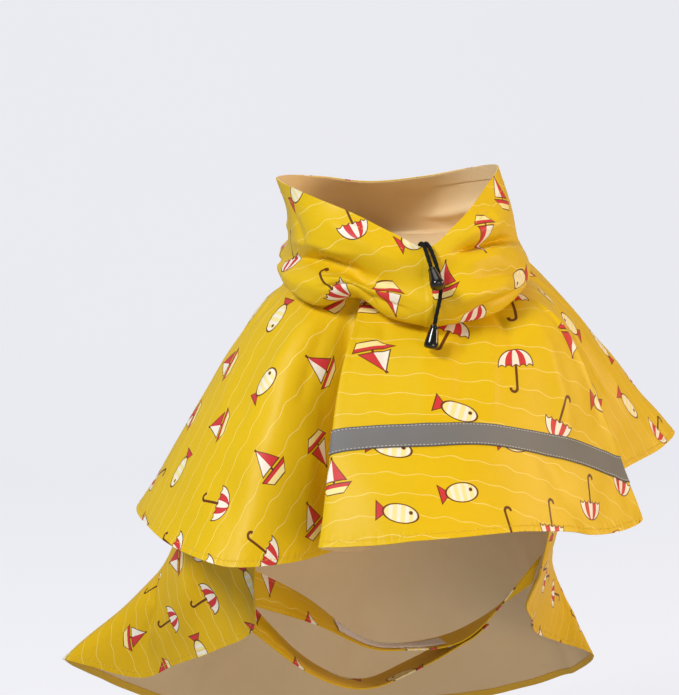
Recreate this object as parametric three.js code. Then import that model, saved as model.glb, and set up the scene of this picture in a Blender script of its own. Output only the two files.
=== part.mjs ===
// Dog raincoat: a pull-on poncho of coated rain cloth for a large dog.
// Two tiers hang from one neck ring: a circular-cut cape and, beneath it, a wide panel over the back.
// The hood is pushed off the head and lies round the neck; a strap with two bands passes under the belly.
//
// Frame: millimetres, +Z up. The wearer faces -Y and the origin is the middle of the neck ring.
// A place is given by its turn (degrees round +Z, 0 at the front, positive towards +X),
// its reach (distance from the Z axis) and its height.

import * as THREE from 'three';

// Cloth and seams
const CLOTH = 1.6;
const TAPE_THICK = 1.0;
const SEAM_GAP = 0.3;
const STITCH_GAP = 0.9;

// Neck ring that both tiers and the hood hang from, higher at the withers than at the chest
const NECK = { halfWidth: 88, halfDepth: 84, height: 18, tilt: 26 };

// Cape: a row for each fold or flute of its hem, in order round the neck from the back.
// neck: turn where its fall line leaves the ring; shoulder: reach and height where the cloth
// leaves the shoulder; hem: turn, reach and height of the hem; tape: where the tape's middle crosses,
// as a share of the fall; steps: columns of the wall up to the next row.
const CAPE = [
  { place: 'back ridge', neck: -180, shoulder: [178, 30], hem: [-180, 300, -150], steps: 4 },
  { place: 'back right valley', neck: -163, shoulder: [170, 18], hem: [-165, 272, -172], steps: 4 },
  { place: 'back right ridge', neck: -147, shoulder: [160, 12], hem: [-150, 306, -184], steps: 4 },
  { place: 'right flank valley', neck: -132, shoulder: [149, -6], hem: [-135, 268, -208], steps: 4 },
  { place: 'right flute', neck: -112, shoulder: [148, -21], hem: [-107, 276, -228], steps: 4 },
  { place: 'right flute front', neck: -94, shoulder: [142, -30], hem: [-89, 266, -239], steps: 3 },
  { place: 'right side', neck: -80, shoulder: [139, -38], hem: [-74, 260, -250], steps: 3 },
  { place: 'right front', neck: -66, shoulder: [140, -50], hem: [-58, 248, -259], steps: 4 },
  { place: 'under the pleat', neck: -56, shoulder: [120, -62], hem: [-49, 196, -258], steps: 4 },
  { place: 'pleat valley', neck: -50, shoulder: [102, -70], hem: [-45, 122, -255], steps: 4 },
  { place: 'pleat turn', neck: -47, shoulder: [100, -70], hem: [-34, 108, -254], steps: 4 },
  { place: 'pleat return', neck: -44, shoulder: [120, -68], hem: [-30, 150, -250], steps: 3 },
  { place: 'pleat back of fold', neck: -42, shoulder: [141, -63], hem: [-32.5, 228, -238], steps: 4 },
  { place: 'pleat fold', neck: -40, shoulder: [149, -61], hem: [-34.8, 248, -232], tape: 0.63, steps: 4 },
  { place: 'pleat face', neck: -37, shoulder: [148, -64], hem: [-31, 254, -229], tape: 0.614, steps: 3 },
  { place: 'front', neck: -25, shoulder: [146, -70], hem: [-20, 252, -226], tape: 0.594, steps: 3 },
  { place: 'front middle', neck: -8, shoulder: [144, -73], hem: [-8, 242, -223], tape: 0.594, steps: 3 },
  { place: 'front hollow', neck: 10, shoulder: [142, -71], hem: [8, 227, -222], tape: 0.61, steps: 3 },
  { place: 'left front hollow', neck: 28, shoulder: [144, -59], hem: [29, 217, -228], tape: 0.656, steps: 3 },
  { place: 'left front', neck: 44, shoulder: [150, -42], hem: [48, 224, -240], tape: 0.704, steps: 3 },
  { place: 'left fold face', neck: 58, shoulder: [158, -27], hem: [62, 242, -240], tape: 0.782, steps: 3 },
  { place: 'left fold', neck: 64, shoulder: [160, -22], hem: [68, 248, -237], tape: 0.826, steps: 4 },
  { place: 'left fold back', neck: 69, shoulder: [156, -20], hem: [73, 238, -230], steps: 4 },
  { place: 'left valley', neck: 80, shoulder: [154, -10], hem: [84, 208, -210], steps: 4 },
  { place: 'left flute front', neck: 91, shoulder: [158, -2], hem: [94, 264, -196], steps: 4 },
  { place: 'left flute side', neck: 100, shoulder: [160, 8], hem: [100, 326, -180], steps: 4 },
  { place: 'left flute', neck: 109, shoulder: [166, 19], hem: [106, 366, -166], steps: 4 },
  { place: 'left flute back', neck: 119, shoulder: [181, 34], hem: [117, 332, -162], steps: 4 },
  { place: 'back left valley', neck: 132, shoulder: [185, 32], hem: [131, 274, -172], steps: 4 },
  { place: 'back left ridge', neck: 147, shoulder: [184, 34], hem: [147, 312, -158], steps: 4 },
  { place: 'back valley', neck: 164, shoulder: [174, 28], hem: [165, 276, -164], steps: 4 },
];
const CAPE_LEVELS = 10;
const TAPE_WIDTH = 25;
const TAPE_FALL = 280;

// Body panel: a row for each section from the left front edge over the back to the right front edge.
// waist: turn, reach and height where it leaves the cape's hem; hem: the same of its own hem.
const BODY = [
  {
    place: 'left front edge', neck: 76, shoulder: [124, -44],
    waist: [83, 164, -210], hem: [93, 160, -308], steps: 3,
  },
  {
    place: 'left leg', neck: 85, shoulder: [126, -38],
    waist: [92, 180, -214], hem: [103, 160, -344], steps: 3,
  },
  {
    place: 'left hem', neck: 95, shoulder: [129, -32],
    waist: [103, 202, -218], hem: [114, 192, -372], steps: 3,
  },
  {
    place: 'left haunch', neck: 104, shoulder: [132, -24],
    waist: [113, 224, -222], hem: [125, 250, -400], steps: 3,
  },
  {
    place: 'left flare', neck: 113, shoulder: [136, -14],
    waist: [121, 240, -224], hem: [129.5, 336, -428], steps: 3,
  },
  {
    place: 'left corner', neck: 122, shoulder: [140, -6],
    waist: [129, 290, -300], hem: [129, 416, -458], steps: 4,
  },
  {
    place: 'left corner back', neck: 132, shoulder: [144, 0],
    waist: [137, 284, -290], hem: [137, 478, -498], steps: 4,
  },
  {
    place: 'back left valley', neck: 147, shoulder: [146, 4],
    waist: [150, 272, -272], hem: [150, 474, -536], steps: 4,
  },
  {
    place: 'back left ridge', neck: 162, shoulder: [148, 6],
    waist: [163, 272, -262], hem: [165, 446, -546], steps: 4,
  },
  {
    place: 'back valley', neck: 180, shoulder: [148, 6],
    waist: [180, 268, -260], hem: [180, 396, -544], steps: 4,
  },
  {
    place: 'back right ridge', neck: 200, shoulder: [145, 0],
    waist: [197, 268, -270], hem: [194, 422, -530], steps: 4,
  },
  {
    place: 'back right valley', neck: 216, shoulder: [140, -8],
    waist: [211, 262, -290], hem: [208, 392, -506], steps: 4,
  },
  {
    place: 'right corner back', neck: 230, shoulder: [134, -16],
    waist: [223, 288, -314], hem: [221, 420, -460], steps: 4,
  },
  {
    place: 'right corner', neck: 238, shoulder: [131, -22],
    waist: [230, 290, -316], hem: [231, 412, -426], steps: 4,
  },
  {
    place: 'right flare', neck: 247, shoulder: [130, -28],
    waist: [238, 266, -312], hem: [229.5, 318, -440], steps: 3,
  },
  {
    place: 'right haunch', neck: 256, shoulder: [129, -32],
    waist: [247, 232, -300], hem: [234, 262, -416], steps: 3,
  },
  {
    place: 'right hem', neck: 266, shoulder: [128, -36],
    waist: [257, 200, -222], hem: [243, 200, -388], steps: 3,
  },
  {
    place: 'right leg', neck: 276, shoulder: [126, -40],
    waist: [268, 176, -218], hem: [256, 156, -358], steps: 3,
  },
  {
    place: 'right front edge', neck: 286, shoulder: [124, -46],
    waist: [278, 158, -215], hem: [268, 158, -312], steps: 3,
  },
];
const BODY_LEVELS = [0, 0.1, 0.2, 0.3, 0.4, 0.5, 0.6, 0.7, 0.8, 0.9, 0.982, 1];

// Hood: a row for each section, with reach and height of the lowest cloth of the roll, its outermost
// cloth, the crease above it, the cowl and the opening's rim.
const HOOD = [
  { turn: -180, low: [150, 54], out: [184, 56], crease: [172, 86], cowl: [150, 106], rim: [116, 114] },
  { turn: -150, low: [138, 42], out: [162, 48], crease: [152, 76], cowl: [138, 100], rim: [118, 119] },
  { turn: -125, low: [122, 22], out: [138, 34], crease: [126, 50], cowl: [125, 90], rim: [125, 120] },
  { turn: -105, low: [117, 12], out: [129, 23], crease: [119, 37], cowl: [118, 79], rim: [130, 116] },
  { turn: -80, low: [116, -2], out: [130, 14], crease: [118, 32], cowl: [121, 72], rim: [124, 106] },
  { turn: -60, low: [117, -12], out: [132, 8], crease: [120, 29], cowl: [125, 62], rim: [118, 94] },
  { turn: -40, low: [113, -3], out: [130, 10], crease: [121, 26], cowl: [127, 54], rim: [112, 79] },
  { turn: -22, low: [117, -23], out: [132, -5], crease: [121, 10], cowl: [126, 38], rim: [109, 62] },
  { turn: -3, low: [119, -31], out: [133, -8], crease: [121, 16], cowl: [120, 34], rim: [108, 47] },
  { turn: 15, low: [120, -28], out: [134, -2], crease: [119, 30], cowl: [114, 50], rim: [101, 68] },
  { turn: 35, low: [122, -20], out: [134, 6], crease: [119, 42], cowl: [111, 65], rim: [94, 90] },
  { turn: 55, low: [124, -5], out: [134, 14], crease: [120, 50], cowl: [111, 79], rim: [91, 107] },
  { turn: 75, low: [125, 6], out: [134, 22], crease: [121, 57], cowl: [114, 88], rim: [100, 124] },
  { turn: 100, low: [130, 28], out: [141, 42], crease: [126, 64], cowl: [120, 97], rim: [110, 131] },
  { turn: 125, low: [135, 50], out: [154, 58], crease: [140, 74], cowl: [130, 102], rim: [116, 128] },
  { turn: 150, low: [144, 55], out: [174, 58], crease: [160, 82], cowl: [142, 104], rim: [118, 120] },
];
const HOOD_FRONT = -3;
const HOOD_LEVELS = [0, 0.05, 0.1, 0.17, 0.24, 0.31, 0.38, 0.46, 0.54, 0.62, 0.7, 0.78, 0.86, 0.93, 1];
const HOOD_COLUMNS = 30;
const CHANNEL_ROWS = 2;
const HOOD_LIFT = 2.2;
const HOOD_ROW_SPACE = 60;

// Belly strap: two bands that leave the right flank apart and close on each other at the left
const STRAP_WIDTH = 42;
const STRAP_LINES = 3;
const STRAP_STEPS = 28;
const TAPE_ON_STRAP = 25;
const TAPE_GAP = 0.45;
// Step in along and down over which the body panel's slope is read where a band is sewn on
const NEARBY = 0.05;
// start, end: place on the body panel as along, and down from and to; sections: middle and tilt
const STRAP_FRONT = {
  start: [17.4, 0.97, 0.85],
  sections: [
    { x: -79, y: 66, z: -346, tilt: 30 },
    { x: -17, y: 68, z: -384, tilt: 5 },
    { x: 18, y: 68, z: -390, tilt: -2 },
    { x: 85, y: 66, z: -382, tilt: 0 },
  ],
  end: [0.7, 0.87, 0.965],
  tape: [8, 21],
};
const STRAP_REAR = {
  start: [16.7, 0.97, 0.86],
  sections: [
    { x: -79, y: 76, z: -408, tilt: 15 },
    { x: -38, y: 78, z: -428, tilt: 5 },
    { x: -8, y: 78, z: -430, tilt: 0 },
    { x: 34, y: 76, z: -414, tilt: 0 },
    { x: 60, y: 72, z: -401, tilt: 0 },
  ],
  closes: [22, 24],
  tape: [26, 30],
};

// Drawstring ends and bells
const CORD_DIAMETER = 4;
const CORDS = {
  short: [
    [-11.5, -100, 44],
    [-11.5, -104, 49.3],
    [-11.5, -110.5, 50.4],
    [-11, -117.5, 46.8],
    [-10.5, -124.5, 39.5],
    [-10, -131, 32],
    [-9.5, -136, 26.5],
  ],
  long: [
    [-7, -100, 44],
    [-7, -104, 49.3],
    [-6.8, -110.5, 50.4],
    [-6, -117.5, 46.8],
    [-4.5, -124.5, 39.3],
    [-2.5, -130, 29],
    [-0.6, -133.5, 18],
    [0, -135.5, 6],
    [-2, -137, -7],
    [-5, -138, -18],
    [-7, -138.5, -28],
  ],
};
const BELL = { length: 24, neckRadius: 4.2, topRadius: 5, rimRadius: 7.2 };
const BELL_SIDES = 14;

const RAD = Math.PI / 180;
const at = (turn, reach, height) =>
  new THREE.Vector3(reach * Math.sin(turn * RAD), -reach * Math.cos(turn * RAD), height);

function neckPoint(turn, inset = 0, lift = 0) {
  const height = NECK.height - NECK.tilt * Math.cos(turn * RAD) + lift;
  const x = (NECK.halfWidth - inset) * Math.sin(turn * RAD);
  const y = -(NECK.halfDepth - inset) * Math.cos(turn * RAD);
  return new THREE.Vector3(x, y, height);
}

// A panel is a surface over (along, down): along counts table rows, down runs from 0 to 1.
// falls: one curve for each row; ring: whether the last row joins the first.
function panel(falls, ring) {
  return (along, down) => {
    const cross = falls.map((fall) => fall.getPointAt(down));
    const curve = new THREE.CatmullRomCurve3(cross, ring, 'centripetal');
    const spans = ring ? falls.length : falls.length - 1;
    return curve.getPoint(along / spans);
  };
}

function columns(rows, ring) {
  const list = [];
  const spans = ring ? rows.length : rows.length - 1;
  for (let row = 0; row < spans; row++) {
    for (let step = 0; step < rows[row].steps; step++) {
      list.push(row + step / rows[row].steps);
    }
  }
  if (!ring) {
    list.push(spans);
  }
  return list;
}

const even = (from, to, count) =>
  Array.from({ length: count + 1 }, (_, i) => from + (to - from) * i / count);

function gridNormals(grid, ring) {
  const width = grid[0].length;
  return grid.map((line, row) => line.map((_, column) => {
    const left = ring ? (column + width - 1) % width : Math.max(column - 1, 0);
    const right = ring ? (column + 1) % width : Math.min(column + 1, width - 1);
    const above = grid[Math.max(row - 1, 0)][column];
    const below = grid[Math.min(row + 1, grid.length - 1)][column];
    const across = line[right].clone().sub(line[left]);
    return below.clone().sub(above).cross(across).normalize();
  }));
}

const moved = (grid, ring, distance) => {
  const normals = gridNormals(grid, ring);
  return grid.map((line, row) => line.map((point, column) =>
    point.clone().addScaledVector(normals[row][column], distance)));
};

// A wall between a panel's points and the same points moved by a thickness
const wall = (grid, ring, thickness) => closed(grid, moved(grid, ring, thickness), ring);

// A closed solid between two grids of points
function closed(front, back, ring) {
  const rows = front.length;
  const width = front[0].length;
  const vertices = [...front.flat(), ...back.flat()].flatMap((p) => [p.x, p.y, p.z]);
  const offset = rows * width;
  const faces = [];
  const quad = (a, b, c, d) => faces.push(a, b, c, a, c, d);
  const last = ring ? width : width - 1;
  for (let row = 0; row + 1 < rows; row++) {
    for (let column = 0; column < last; column++) {
      const next = (column + 1) % width;
      const [a, b] = [row * width + column, row * width + next];
      const [c, d] = [b + width, a + width];
      quad(a, b, c, d);
      quad(offset + a, offset + d, offset + c, offset + b);
    }
  }
  for (let column = 0; column < last; column++) {
    const next = (column + 1) % width;
    const foot = (rows - 1) * width;
    quad(next, column, offset + column, offset + next);
    quad(foot + column, foot + next, offset + foot + next, offset + foot + column);
  }
  if (!ring) {
    for (let row = 0; row + 1 < rows; row++) {
      const [a, b] = [row * width, (row + 1) * width];
      const [c, d] = [a + width - 1, b + width - 1];
      quad(a, b, offset + b, offset + a);
      quad(d, c, offset + c, offset + d);
    }
  }
  const geometry = new THREE.BufferGeometry();
  geometry.setAttribute('position', new THREE.Float32BufferAttribute(vertices, 3));
  geometry.setIndex(volume(vertices, faces) > 0 ? faces : faces.reverse());
  return geometry;
}

function volume(vertices, faces) {
  const corner = (i) => new THREE.Vector3().fromArray(vertices, faces[i] * 3);
  let sum = 0;
  for (let i = 0; i < faces.length; i += 3) {
    sum += corner(i).dot(corner(i + 1).cross(corner(i + 2)));
  }
  return sum;
}

const gridOf = (surface, alongs, downs) => downs.map((down) => alongs.map((along) => surface(along, down)));

// Materials
const cloth = new THREE.MeshStandardMaterial({ color: 0xf3c62d, roughness: 0.45, metalness: 0 });
const underCloth = new THREE.MeshStandardMaterial({ color: 0xeabd28, roughness: 0.5, metalness: 0 });
const tapeGrey = new THREE.MeshStandardMaterial({ color: 0x72757b, roughness: 0.35, metalness: 0.2 });
const loopWhite = new THREE.MeshStandardMaterial({ color: 0xe9e3ee, roughness: 0.9, metalness: 0 });
const cordBlack = new THREE.MeshStandardMaterial({ color: 0x16161a, roughness: 0.8, metalness: 0 });
const bellBlack = new THREE.MeshStandardMaterial({ color: 0x0c0c0e, roughness: 0.2, metalness: 0 });

const coat = new THREE.Group();
function add(name, geometry, material) {
  const mesh = new THREE.Mesh(geometry, material);
  mesh.name = name;
  coat.add(mesh);
}

// Cape
const fallCurve = (points) => new THREE.CatmullRomCurve3(points, false, 'centripetal');
const capeFalls = CAPE.map(({ neck, shoulder, hem }) => {
  const shoulderTurn = neck + (hem[0] - neck) / 3;
  return fallCurve([neckPoint(neck), at(shoulderTurn, ...shoulder), at(...hem)]);
});
const capeSurface = panel(capeFalls, true);
const capeGrid = gridOf(capeSurface, columns(CAPE, true), even(0, 1, CAPE_LEVELS));
add('cape', wall(capeGrid, true, -CLOTH), cloth);

// Reflective tape on the front panel, from the cape's own points moved out
const tapeRows = CAPE.map((row, index) => ({ ...row, index })).filter((row) => row.tape);
const tapeAlong = columns(CAPE, true)
  .filter((along) => along >= tapeRows[0].index && along <= tapeRows[tapeRows.length - 1].index);
const tapeCentre = new THREE.CatmullRomCurve3(
  tapeRows.map((row) => new THREE.Vector3(row.index, row.tape, 0)), false, 'centripetal');
function tapeDown(along) {
  const first = tapeRows[0].index;
  const span = tapeRows.length - 1;
  return tapeCentre.getPoint((along - first) / span).y;
}
const tapeHalf = TAPE_WIDTH / TAPE_FALL / 2;
const tapeGrid = even(-tapeHalf, tapeHalf, 2)
  .map((side) => tapeAlong.map((along) => capeSurface(along, tapeDown(along) + side)));
add('reflective_tape', wall(moved(tapeGrid, false, SEAM_GAP), false, TAPE_THICK), tapeGrey);

// Body panel, hung just inside the cape's neck edge
const bodyInset = (CLOTH + 2 * SEAM_GAP) * Math.SQRT1_2;
const bodyFalls = BODY.map(({ neck, shoulder, waist, hem }) => {
  const shoulderTurn = neck + (waist[0] - neck) / 2;
  return fallCurve([
    neckPoint(neck, bodyInset, -bodyInset),
    at(shoulderTurn, ...shoulder),
    at(...waist),
    at(...hem),
  ]);
});
const bodySurface = panel(bodyFalls, false);
const bodyColumns = columns(BODY, false);
const bodyGrid = gridOf(bodySurface, bodyColumns, BODY_LEVELS);
add('body_panel', wall(bodyGrid, false, -CLOTH), underCloth);

// A turned edge on a panel's wrong side: the inner layer of some of its rows
function turning(grid, first, last) {
  const outside = -CLOTH - SEAM_GAP;
  const rows = (depth) => moved(grid, false, depth).slice(first, last);
  return closed(rows(outside), rows(outside - TAPE_THICK), false);
}
add('body_hem_turning', turning(bodyGrid, -2), underCloth);

// Hood, in two halves that meet at centre back and under the chin
const hoodFalls = HOOD.map(({ turn, low, out, crease, cowl, rim }) => fallCurve([
  at(turn, ...rim),
  at(turn, ...cowl),
  at(turn, ...crease),
  at(turn, ...out),
  at(turn, ...low),
  neckPoint(turn, 0, HOOD_LIFT),
]));
const hoodSurface = panel(hoodFalls, true);
const chin = HOOD.findIndex((row) => row.turn === HOOD_FRONT);
const seam = SEAM_GAP / HOOD_ROW_SPACE;
const hoodHalves = {
  right: even(seam, chin - seam, HOOD_COLUMNS),
  left: even(chin + seam, HOOD.length - seam, HOOD_COLUMNS),
};
for (const [side, alongs] of Object.entries(hoodHalves)) {
  const grid = gridOf(hoodSurface, alongs, HOOD_LEVELS);
  add(`hood_${side}`, wall(grid, false, -CLOTH), cloth);
  add(`hood_channel_${side}`, turning(grid, 0, CHANNEL_ROWS + 1), cloth);
}

// Belly strap: each band starts on the wrong side of a flank and runs through its own sections
const strapEnd = (along, from, to) => even(0, 1, STRAP_LINES).map((share) => {
  const down = from + (to - from) * share;
  const across = bodySurface(along + NEARBY, down).sub(bodySurface(along - NEARBY, down));
  const fall = bodySurface(along, down).sub(bodySurface(along, down - NEARBY));
  const inward = fall.cross(across).normalize();
  return bodySurface(along, down).addScaledVector(inward, -CLOTH - STITCH_GAP);
});
const strapSection = ({ x, y, z, tilt }) => even(-0.5, 0.5, STRAP_LINES).map((share) => new THREE.Vector3(
  x,
  y + STRAP_WIDTH * share * Math.cos(tilt * RAD),
  z + STRAP_WIDTH * share * Math.sin(tilt * RAD)));
const strapLines = (sections) => even(0, STRAP_LINES, STRAP_LINES)
  .map((line) => fallCurve(sections.map((section) => section[line])));
const strapGrid = (lines) => lines.map((line) => line.getPoints(STRAP_STEPS));

const frontLines = strapLines([
  strapEnd(...STRAP_FRONT.start),
  ...STRAP_FRONT.sections.map(strapSection),
  strapEnd(...STRAP_FRONT.end),
]);
const frontGrid = strapGrid(frontLines);
add('belly_strap_front', wall(frontGrid, false, CLOTH), underCloth);

// The rear band closes under the front one: its last columns are the front band's, moved down
const underFront = moved(frontGrid, false, CLOTH + TAPE_THICK + 2 * TAPE_GAP);
const [closeFrom, closeTo] = STRAP_REAR.closes;
const rearLines = strapLines([
  strapEnd(...STRAP_REAR.start),
  ...STRAP_REAR.sections.map(strapSection),
  underFront.map((line) => line[closeFrom]),
]);
const rearGrid = strapGrid(rearLines)
  .map((line, index) => [...line, ...underFront[index].slice(closeFrom + 1, closeTo + 1)]);
add('belly_strap_rear', wall(rearGrid, false, CLOTH), underCloth);

// Hook-and-loop tapes, each a part of its band's points moved to the face that it is sewn on
function strapTape(grid, first, last) {
  const middle = (line) => line.slice(first, last + 1);
  const inset = (1 - TAPE_ON_STRAP / STRAP_WIDTH) / 2;
  const upper = middle(grid[0]);
  const lower = middle(grid[grid.length - 1]);
  const lines = even(inset, 1 - inset, 2).map((share) => upper.map((point, step) =>
    point.clone().lerp(lower[step], share)));
  return wall(moved(lines, false, -TAPE_GAP), false, -TAPE_THICK);
}
add('loop_tape', strapTape(frontGrid, ...STRAP_FRONT.tape), loopWhite);
add('hook_tape', strapTape(rearGrid, ...STRAP_REAR.tape), loopWhite);

// Drawstring: a round section carried along each free end
function cord(path) {
  const section = new THREE.Shape().absarc(0, 0, CORD_DIAMETER / 2, 0, 2 * Math.PI);
  const steps = Math.round(path.getLength() / CORD_DIAMETER / 1.5);
  const options = { extrudePath: path, steps, curveSegments: 4, bevelEnabled: false };
  return new THREE.ExtrudeGeometry(section, options);
}

// Bell-shaped cord end, hung from the last point of its cord along the cord's own direction
function bell(path) {
  const { length, neckRadius, topRadius, rimRadius } = BELL;
  const profile = [
    [0, 0],
    [neckRadius - 1, 0],
    [neckRadius, 1],
    [neckRadius, 4],
    [topRadius, 5],
    [rimRadius, length * 0.72],
    [rimRadius, length * 0.86],
    [rimRadius * 0.72, length * 0.97],
    [0, length],
  ].map(([radius, height]) => new THREE.Vector2(radius, height));
  const geometry = new THREE.LatheGeometry(profile, BELL_SIDES);
  const direction = path.getTangentAt(1);
  const end = path.getPointAt(1).addScaledVector(direction, SEAM_GAP);
  geometry.applyQuaternion(new THREE.Quaternion().setFromUnitVectors(new THREE.Vector3(0, 1, 0), direction));
  geometry.translate(end.x, end.y, end.z);
  return geometry;
}

for (const [name, route] of Object.entries(CORDS)) {
  const points = route.map((point) => new THREE.Vector3(...point));
  const path = new THREE.CatmullRomCurve3(points, false, 'centripetal');
  add(`cord_${name}`, cord(path), cordBlack);
  add(`bell_${name}`, bell(path), bellBlack);
}

export default coat;
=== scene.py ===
"""Looks of the dog raincoat: printed rain cloth, tape, bands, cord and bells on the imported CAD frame."""

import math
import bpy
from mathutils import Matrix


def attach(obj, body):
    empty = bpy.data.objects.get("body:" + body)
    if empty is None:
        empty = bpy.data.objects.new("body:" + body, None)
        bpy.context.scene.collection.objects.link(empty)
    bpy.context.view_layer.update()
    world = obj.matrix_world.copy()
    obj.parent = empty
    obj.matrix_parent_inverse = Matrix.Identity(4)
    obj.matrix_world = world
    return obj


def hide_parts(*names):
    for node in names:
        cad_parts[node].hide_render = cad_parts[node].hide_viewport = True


bl_info = {
    "name": "Dog Raincoat Looks",
    "version": (1, 0, 0),
    "blender": (4, 5, 0),
    "location": "View3D > Sidebar > Raincoat",
    "description": "Builds the cloth, trim and stage of a two-tier dog raincoat on its CAD frame",
    "category": "Object",
}

import bpy
import numpy as np
from bpy.props import FloatProperty, IntProperty, PointerProperty
from mathutils import Vector

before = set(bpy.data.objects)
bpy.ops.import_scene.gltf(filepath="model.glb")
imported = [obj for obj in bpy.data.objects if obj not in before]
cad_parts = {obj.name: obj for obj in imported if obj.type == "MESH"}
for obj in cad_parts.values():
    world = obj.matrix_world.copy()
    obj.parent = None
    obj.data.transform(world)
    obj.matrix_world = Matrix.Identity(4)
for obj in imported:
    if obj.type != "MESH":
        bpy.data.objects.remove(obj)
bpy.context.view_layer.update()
MM = 0.001

# ---------------------------------------------------------------- sizes, in millimetres and degrees

CLOTH = 1.6
SHOWN_CLOTH = 1.1
# The cape's cloth is thin down to half this share of its fall and full below it, so that its inner
# face doesn't cross itself where the pleat is tight
THINNED_CLOTH = 0.25
CAPE_THINNED = 0.42
TAPE_THICK = 1.0
SEAM_GAP = 0.3
STITCH_GAP = 0.9
TAPE_GAP = 0.45
NECK = {"half_width": 88, "half_depth": 84, "height": 18, "tilt": 26}

# Cape rows: neck turn, shoulder (reach, height), hem (turn, reach, height), tape share of the fall
CAPE = [
    (-180, (178, 30), (-180, 300, -150), None),
    (-163, (170, 18), (-165, 272, -172), None),
    (-147, (160, 12), (-150, 306, -184), None),
    (-132, (149, -6), (-135, 268, -208), None),
    (-112, (148, -21), (-107, 276, -228), None),
    (-94, (142, -30), (-89, 266, -239), None),
    (-80, (139, -38), (-74, 260, -250), None),
    (-66, (140, -50), (-58, 248, -259), None),
    (-56, (120, -62), (-49, 196, -258), None),
    (-50, (102, -70), (-45, 122, -255), None),
    (-47, (100, -70), (-34, 108, -254), None),
    (-44, (120, -68), (-30, 150, -250), None),
    (-42, (141, -63), (-32.5, 228, -238), None),
    (-40, (149, -61), (-34.8, 248, -232), 0.63),
    (-37, (148, -64), (-31, 254, -229), 0.614),
    (-25, (146, -70), (-20, 252, -226), 0.594),
    (-8, (144, -73), (-8, 242, -223), 0.594),
    (10, (142, -71), (8, 227, -222), 0.61),
    (28, (144, -59), (29, 217, -228), 0.656),
    (44, (150, -42), (48, 224, -240), 0.704),
    (58, (158, -27), (62, 242, -240), 0.782),
    (64, (160, -22), (68, 248, -237), 0.826),
    (69, (156, -20), (73, 238, -230), None),
    (80, (154, -10), (84, 208, -210), None),
    (91, (158, -2), (94, 264, -196), None),
    (100, (160, 8), (100, 326, -180), None),
    (109, (166, 19), (106, 366, -166), None),
    (119, (181, 34), (117, 332, -162), None),
    (132, (185, 32), (131, 274, -172), None),
    (147, (184, 34), (147, 312, -158), None),
    (164, (174, 28), (165, 276, -164), None),
]
TAPE_WIDTH = 25
TAPE_FALL = 280

# Body rows: neck turn, shoulder (reach, height), waist and hem (turn, reach, height)
BODY = [
    (76, (124, -44), (83, 164, -210), (93, 160, -308)),
    (85, (126, -38), (92, 180, -214), (103, 160, -344)),
    (95, (129, -32), (103, 202, -218), (114, 192, -372)),
    (104, (132, -24), (113, 224, -222), (125, 250, -400)),
    (113, (136, -14), (121, 240, -224), (129.5, 336, -428)),
    (122, (140, -6), (129, 290, -300), (129, 416, -458)),
    (132, (144, 0), (137, 284, -290), (137, 478, -498)),
    (147, (146, 4), (150, 272, -272), (150, 474, -536)),
    (162, (148, 6), (163, 272, -262), (165, 446, -546)),
    (180, (148, 6), (180, 268, -260), (180, 396, -544)),
    (200, (145, 0), (197, 268, -270), (194, 422, -530)),
    (216, (140, -8), (211, 262, -290), (208, 392, -506)),
    (230, (134, -16), (223, 288, -314), (221, 420, -460)),
    (238, (131, -22), (230, 290, -316), (231, 412, -426)),
    (247, (130, -28), (238, 266, -312), (229.5, 318, -440)),
    (256, (129, -32), (247, 232, -300), (234, 262, -416)),
    (266, (128, -36), (257, 200, -222), (243, 200, -388)),
    (276, (126, -40), (268, 176, -218), (256, 156, -358)),
    (286, (124, -46), (278, 158, -215), (268, 158, -312)),
]

# Hood rows: turn, then reach and height of rim, cowl, crease, outermost and lowest cloth
HOOD = [
    (-180, (116, 114), (150, 106), (172, 86), (184, 56), (150, 54)),
    (-150, (118, 119), (138, 100), (152, 76), (162, 48), (138, 42)),
    (-125, (125, 120), (125, 90), (126, 50), (138, 34), (122, 22)),
    (-105, (130, 116), (118, 79), (119, 37), (129, 23), (117, 12)),
    (-80, (124, 106), (121, 72), (118, 32), (130, 14), (116, -2)),
    (-60, (118, 94), (125, 62), (120, 29), (132, 8), (117, -12)),
    (-40, (112, 79), (127, 54), (121, 26), (130, 10), (113, -3)),
    (-22, (109, 62), (126, 38), (121, 10), (132, -5), (117, -23)),
    (-3, (108, 47), (120, 34), (121, 16), (133, -8), (119, -31)),
    (15, (101, 68), (114, 50), (119, 30), (134, -2), (120, -28)),
    (35, (94, 90), (111, 65), (119, 42), (134, 6), (122, -20)),
    (55, (91, 107), (111, 79), (120, 50), (134, 14), (124, -5)),
    (75, (100, 124), (114, 88), (121, 57), (134, 22), (125, 6)),
    (100, (110, 131), (120, 97), (126, 64), (141, 42), (130, 28)),
    (125, (116, 128), (130, 102), (140, 74), (154, 58), (135, 50)),
    (150, (118, 120), (142, 104), (160, 82), (174, 58), (144, 55)),
]
HOOD_CHIN = 8
HOOD_LIFT = 2.2
HOOD_SEAM = 0.0004
# The right half laps over the left at the chin: where it starts to rise and has risen, and by how much
LAP = (7.84, 7.9)
LAP_RAISE = 0.9
LAP_STITCHES = {"edge": 7.955, "inner": 7.865}
CHANNEL_FALL = 0.1

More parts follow.
